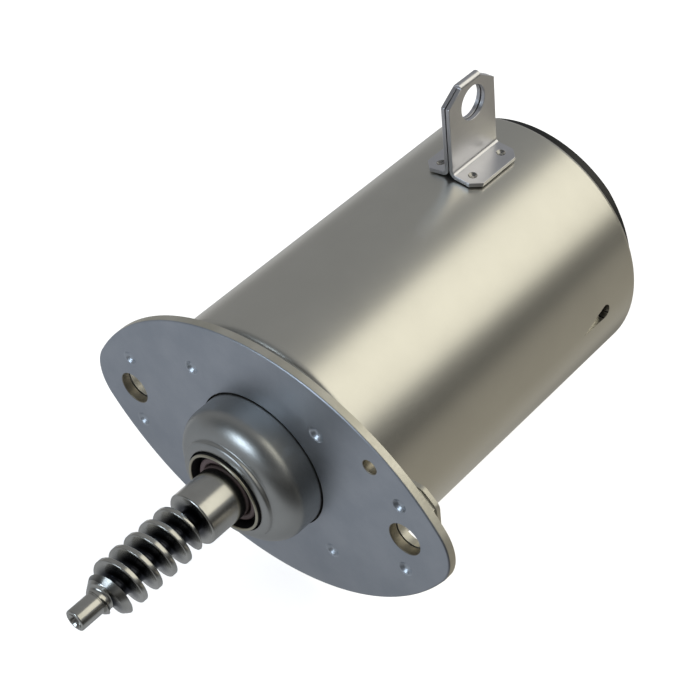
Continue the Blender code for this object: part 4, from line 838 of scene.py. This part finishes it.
def make_floor():
    """A white table to the camera; the darker tones here are what the metal mirrors."""
    bm = bmesh.new()
    bmesh.ops.create_grid(bm, x_segments=1, y_segments=1, size=6.0,
                          matrix=Matrix.Translation((0, 0, -0.0002)))
    mesh = bpy.data.meshes.new("floor")
    bm.to_mesh(mesh)
    bm.free()
    floor = bpy.data.objects.new("floor", mesh)
    bpy.context.scene.collection.objects.link(floor)
    material = bpy.data.materials.new("white_table")
    material.use_nodes = True
    tree = material.node_tree
    tree.nodes.clear()
    place = add(tree, "ShaderNodeTexCoord").outputs["Object"]
    spot = add(tree, "ShaderNodeSeparateXYZ", {"Vector": place})
    behind = floor_ramp(tree, spot.outputs["X"], -0.4, 0.4, [
        (0.0, 0.26, 0.26, 0.26), (0.2, 0.45, 0.45, 0.45), (0.36, 0.85, 0.86, 0.87),
        (0.48, 0.80, 0.80, 0.80), (0.52, 0.60, 0.59, 0.56), (0.56, 0.34, 0.32, 0.27),
        (0.72, 0.30, 0.285, 0.25), (0.82, 0.10, 0.098, 0.09), (1.0, 0.06, 0.06, 0.06)])
    ahead = floor_ramp(tree, spot.outputs["X"], -0.2, 0.2, [
        (0.0, 0.34, 0.36, 0.385), (0.45, 0.385, 0.40, 0.42), (0.60, 0.38, 0.395, 0.41),
        (0.69, 0.08, 0.08, 0.08), (1.0, 0.04, 0.04, 0.04)])
    # Painted shadow of the object on the table in front of the flange, as the metal mirrors it
    contact_shadow = add(tree, "ShaderNodeMapRange", {"Value": spot.outputs["Y"]},
                  interpolation_type="SMOOTHSTEP", in_1=-0.065, in_2=-0.028, in_3=1.0, in_4=0.75)
    shaded = add(tree, "ShaderNodeMix", {"Factor": contact_shadow.outputs[0], 7: ahead},
                 data_type="RGBA", in_6=(0, 0, 0, 1))
    split = add(tree, "ShaderNodeMapRange", {"Value": spot.outputs["Y"]},
                interpolation_type="SMOOTHSTEP", in_1=-0.032, in_2=-0.012)
    fading = add(tree, "ShaderNodeMapRange", {"Value": spot.outputs["Y"]},
                 in_1=0.0, in_2=0.08, in_3=1.0, in_4=0.35)
    right = add(tree, "ShaderNodeMapRange", {"Value": spot.outputs["X"]},
                interpolation_type="SMOOTHSTEP", in_1=0.024, in_2=0.036)
    left = add(tree, "ShaderNodeMapRange", {"Value": spot.outputs["X"]},
               interpolation_type="SMOOTHSTEP", in_1=-0.15, in_2=-0.05, in_3=0.92, in_4=0.0)
    sides = add(tree, "ShaderNodeMath", {0: left.outputs[0], 1: right.outputs[0]},
                operation="MAXIMUM")
    bright = add(tree, "ShaderNodeMath", {0: fading.outputs[0], 1: sides.outputs[0]},
                 operation="MAXIMUM")
    faded = add(tree, "ShaderNodeMix", {"Factor": bright.outputs[0], 7: behind},
                data_type="RGBA", in_6=(0, 0, 0, 1))
    view = add(tree, "ShaderNodeMix", {"Factor": split.outputs[0], 6: shaded.outputs[2],
                                       7: faded.outputs[2]}, data_type="RGBA")
    mirror_view = add(tree, "ShaderNodeEmission", {"Color": view.outputs[2]}, in_Strength=1.0)
    paper = add(tree, "ShaderNodeBsdfDiffuse", in_Color=colour("FFFFFF"))
    glow = add(tree, "ShaderNodeEmission", in_Color=colour("FFFFFF"), in_Strength=0.76)
    seen = add(tree, "ShaderNodeAddShader", {0: paper.outputs[0], 1: glow.outputs[0]})
    path = add(tree, "ShaderNodeLightPath")
    mix = add(tree, "ShaderNodeMixShader", {0: path.outputs["Is Camera Ray"],
                                            1: mirror_view.outputs[0], 2: seen.outputs[0]})
    add(tree, "ShaderNodeOutputMaterial", {"Surface": mix.outputs[0]})
    mesh.materials.append(material)


def make_world():
    """White to the camera; to the object a dim room, darker low right and high in front."""
    world = bpy.data.worlds.new("studio")
    bpy.context.scene.world = world
    world.use_nodes = True
    tree = world.node_tree
    tree.nodes.clear()
    way = add(tree, "ShaderNodeTexCoord").outputs["Generated"]
    parts = add(tree, "ShaderNodeSeparateXYZ", {"Vector": way})
    low = add(tree, "ShaderNodeMapRange", {"Value": parts.outputs["Z"]},
              interpolation_type="SMOOTHSTEP", in_1=0.05, in_2=0.35, in_3=1.0, in_4=0.0)
    right = add(tree, "ShaderNodeMapRange", {"Value": parts.outputs["X"]},
                interpolation_type="SMOOTHSTEP", in_1=0.0, in_2=0.5)
    both = add(tree, "ShaderNodeMath", {0: low.outputs[0], 1: right.outputs[0]},
               operation="MULTIPLY")
    tone = add(tree, "ShaderNodeMix", {"Factor": both.outputs[0]}, data_type="RGBA",
               in_6=(0.27, 0.275, 0.28, 1), in_7=(0.07, 0.068, 0.062, 1))
    front = add(tree, "ShaderNodeMapRange", {"Value": parts.outputs["Y"]},
                interpolation_type="SMOOTHSTEP", in_1=-0.45, in_2=-0.05, in_3=1.0, in_4=0.0)
    high = add(tree, "ShaderNodeMapRange", {"Value": parts.outputs["Z"]},
               interpolation_type="SMOOTHSTEP", in_1=0.15, in_2=0.50)
    dim = add(tree, "ShaderNodeMath", {0: front.outputs[0], 1: high.outputs[0]},
              operation="MULTIPLY")
    level = add(tree, "ShaderNodeMapRange", {"Value": dim.outputs[0]}, in_3=1.0, in_4=0.30)
    room = add(tree, "ShaderNodeBackground",
               {"Color": tone.outputs[2], "Strength": level.outputs[0]})
    white = add(tree, "ShaderNodeBackground", in_Color=colour("FFFFFF"), in_Strength=1.0)
    path = add(tree, "ShaderNodeLightPath")
    mix = add(tree, "ShaderNodeMixShader", {0: path.outputs["Is Camera Ray"],
                                            1: room.outputs[0], 2: white.outputs[0]})
    add(tree, "ShaderNodeOutputWorld", {"Surface": mix.outputs[0]})


def make_lamp(name, direction, along, distance, size, size_y, radiance, tint):
    """A one-sided softbox; size runs towards the along direction, size_y across it."""
    data = bpy.data.lights.new(name, "AREA")
    data.shape = "RECTANGLE"
    data.size = size
    data.size_y = size_y
    data.energy = pi * size * size_y * radiance
    data.color = colour(tint)[:3]
    lamp = bpy.data.objects.new(name, data)
    way = Vector(direction).normalized()
    side = (Vector(along) - way * way.dot(Vector(along))).normalized()
    facing = Matrix((side, way.cross(side), way)).transposed().to_4x4()
    lamp.matrix_world = Matrix.Translation(Vector((0, 0, AXIS_UP)) + way * distance) @ facing
    lamp.visible_camera = False
    bpy.context.scene.collection.objects.link(lamp)


def make_lamps():
    make_lamp("key_softbox", (0.549, 0.533, 0.643), (0, 1, 0), 1.2, 1.6, 1.08, 1.0, "FFFAE6")
    make_lamp("front_window", (-0.148, -0.826, 0.539), (1, 0, 0), 1.2, 0.55, 0.40, 5.0,
              "E0F0FF")


photo_camera()
make_can()
make_flange()
make_ear_plates()
make_bracket()
make_shaft()
make_seal()
make_cap()
make_springs()
finish_inner_solids()
make_floor()
make_world()
make_lamps()
bpy.context.scene.view_settings.view_transform = "Standard"
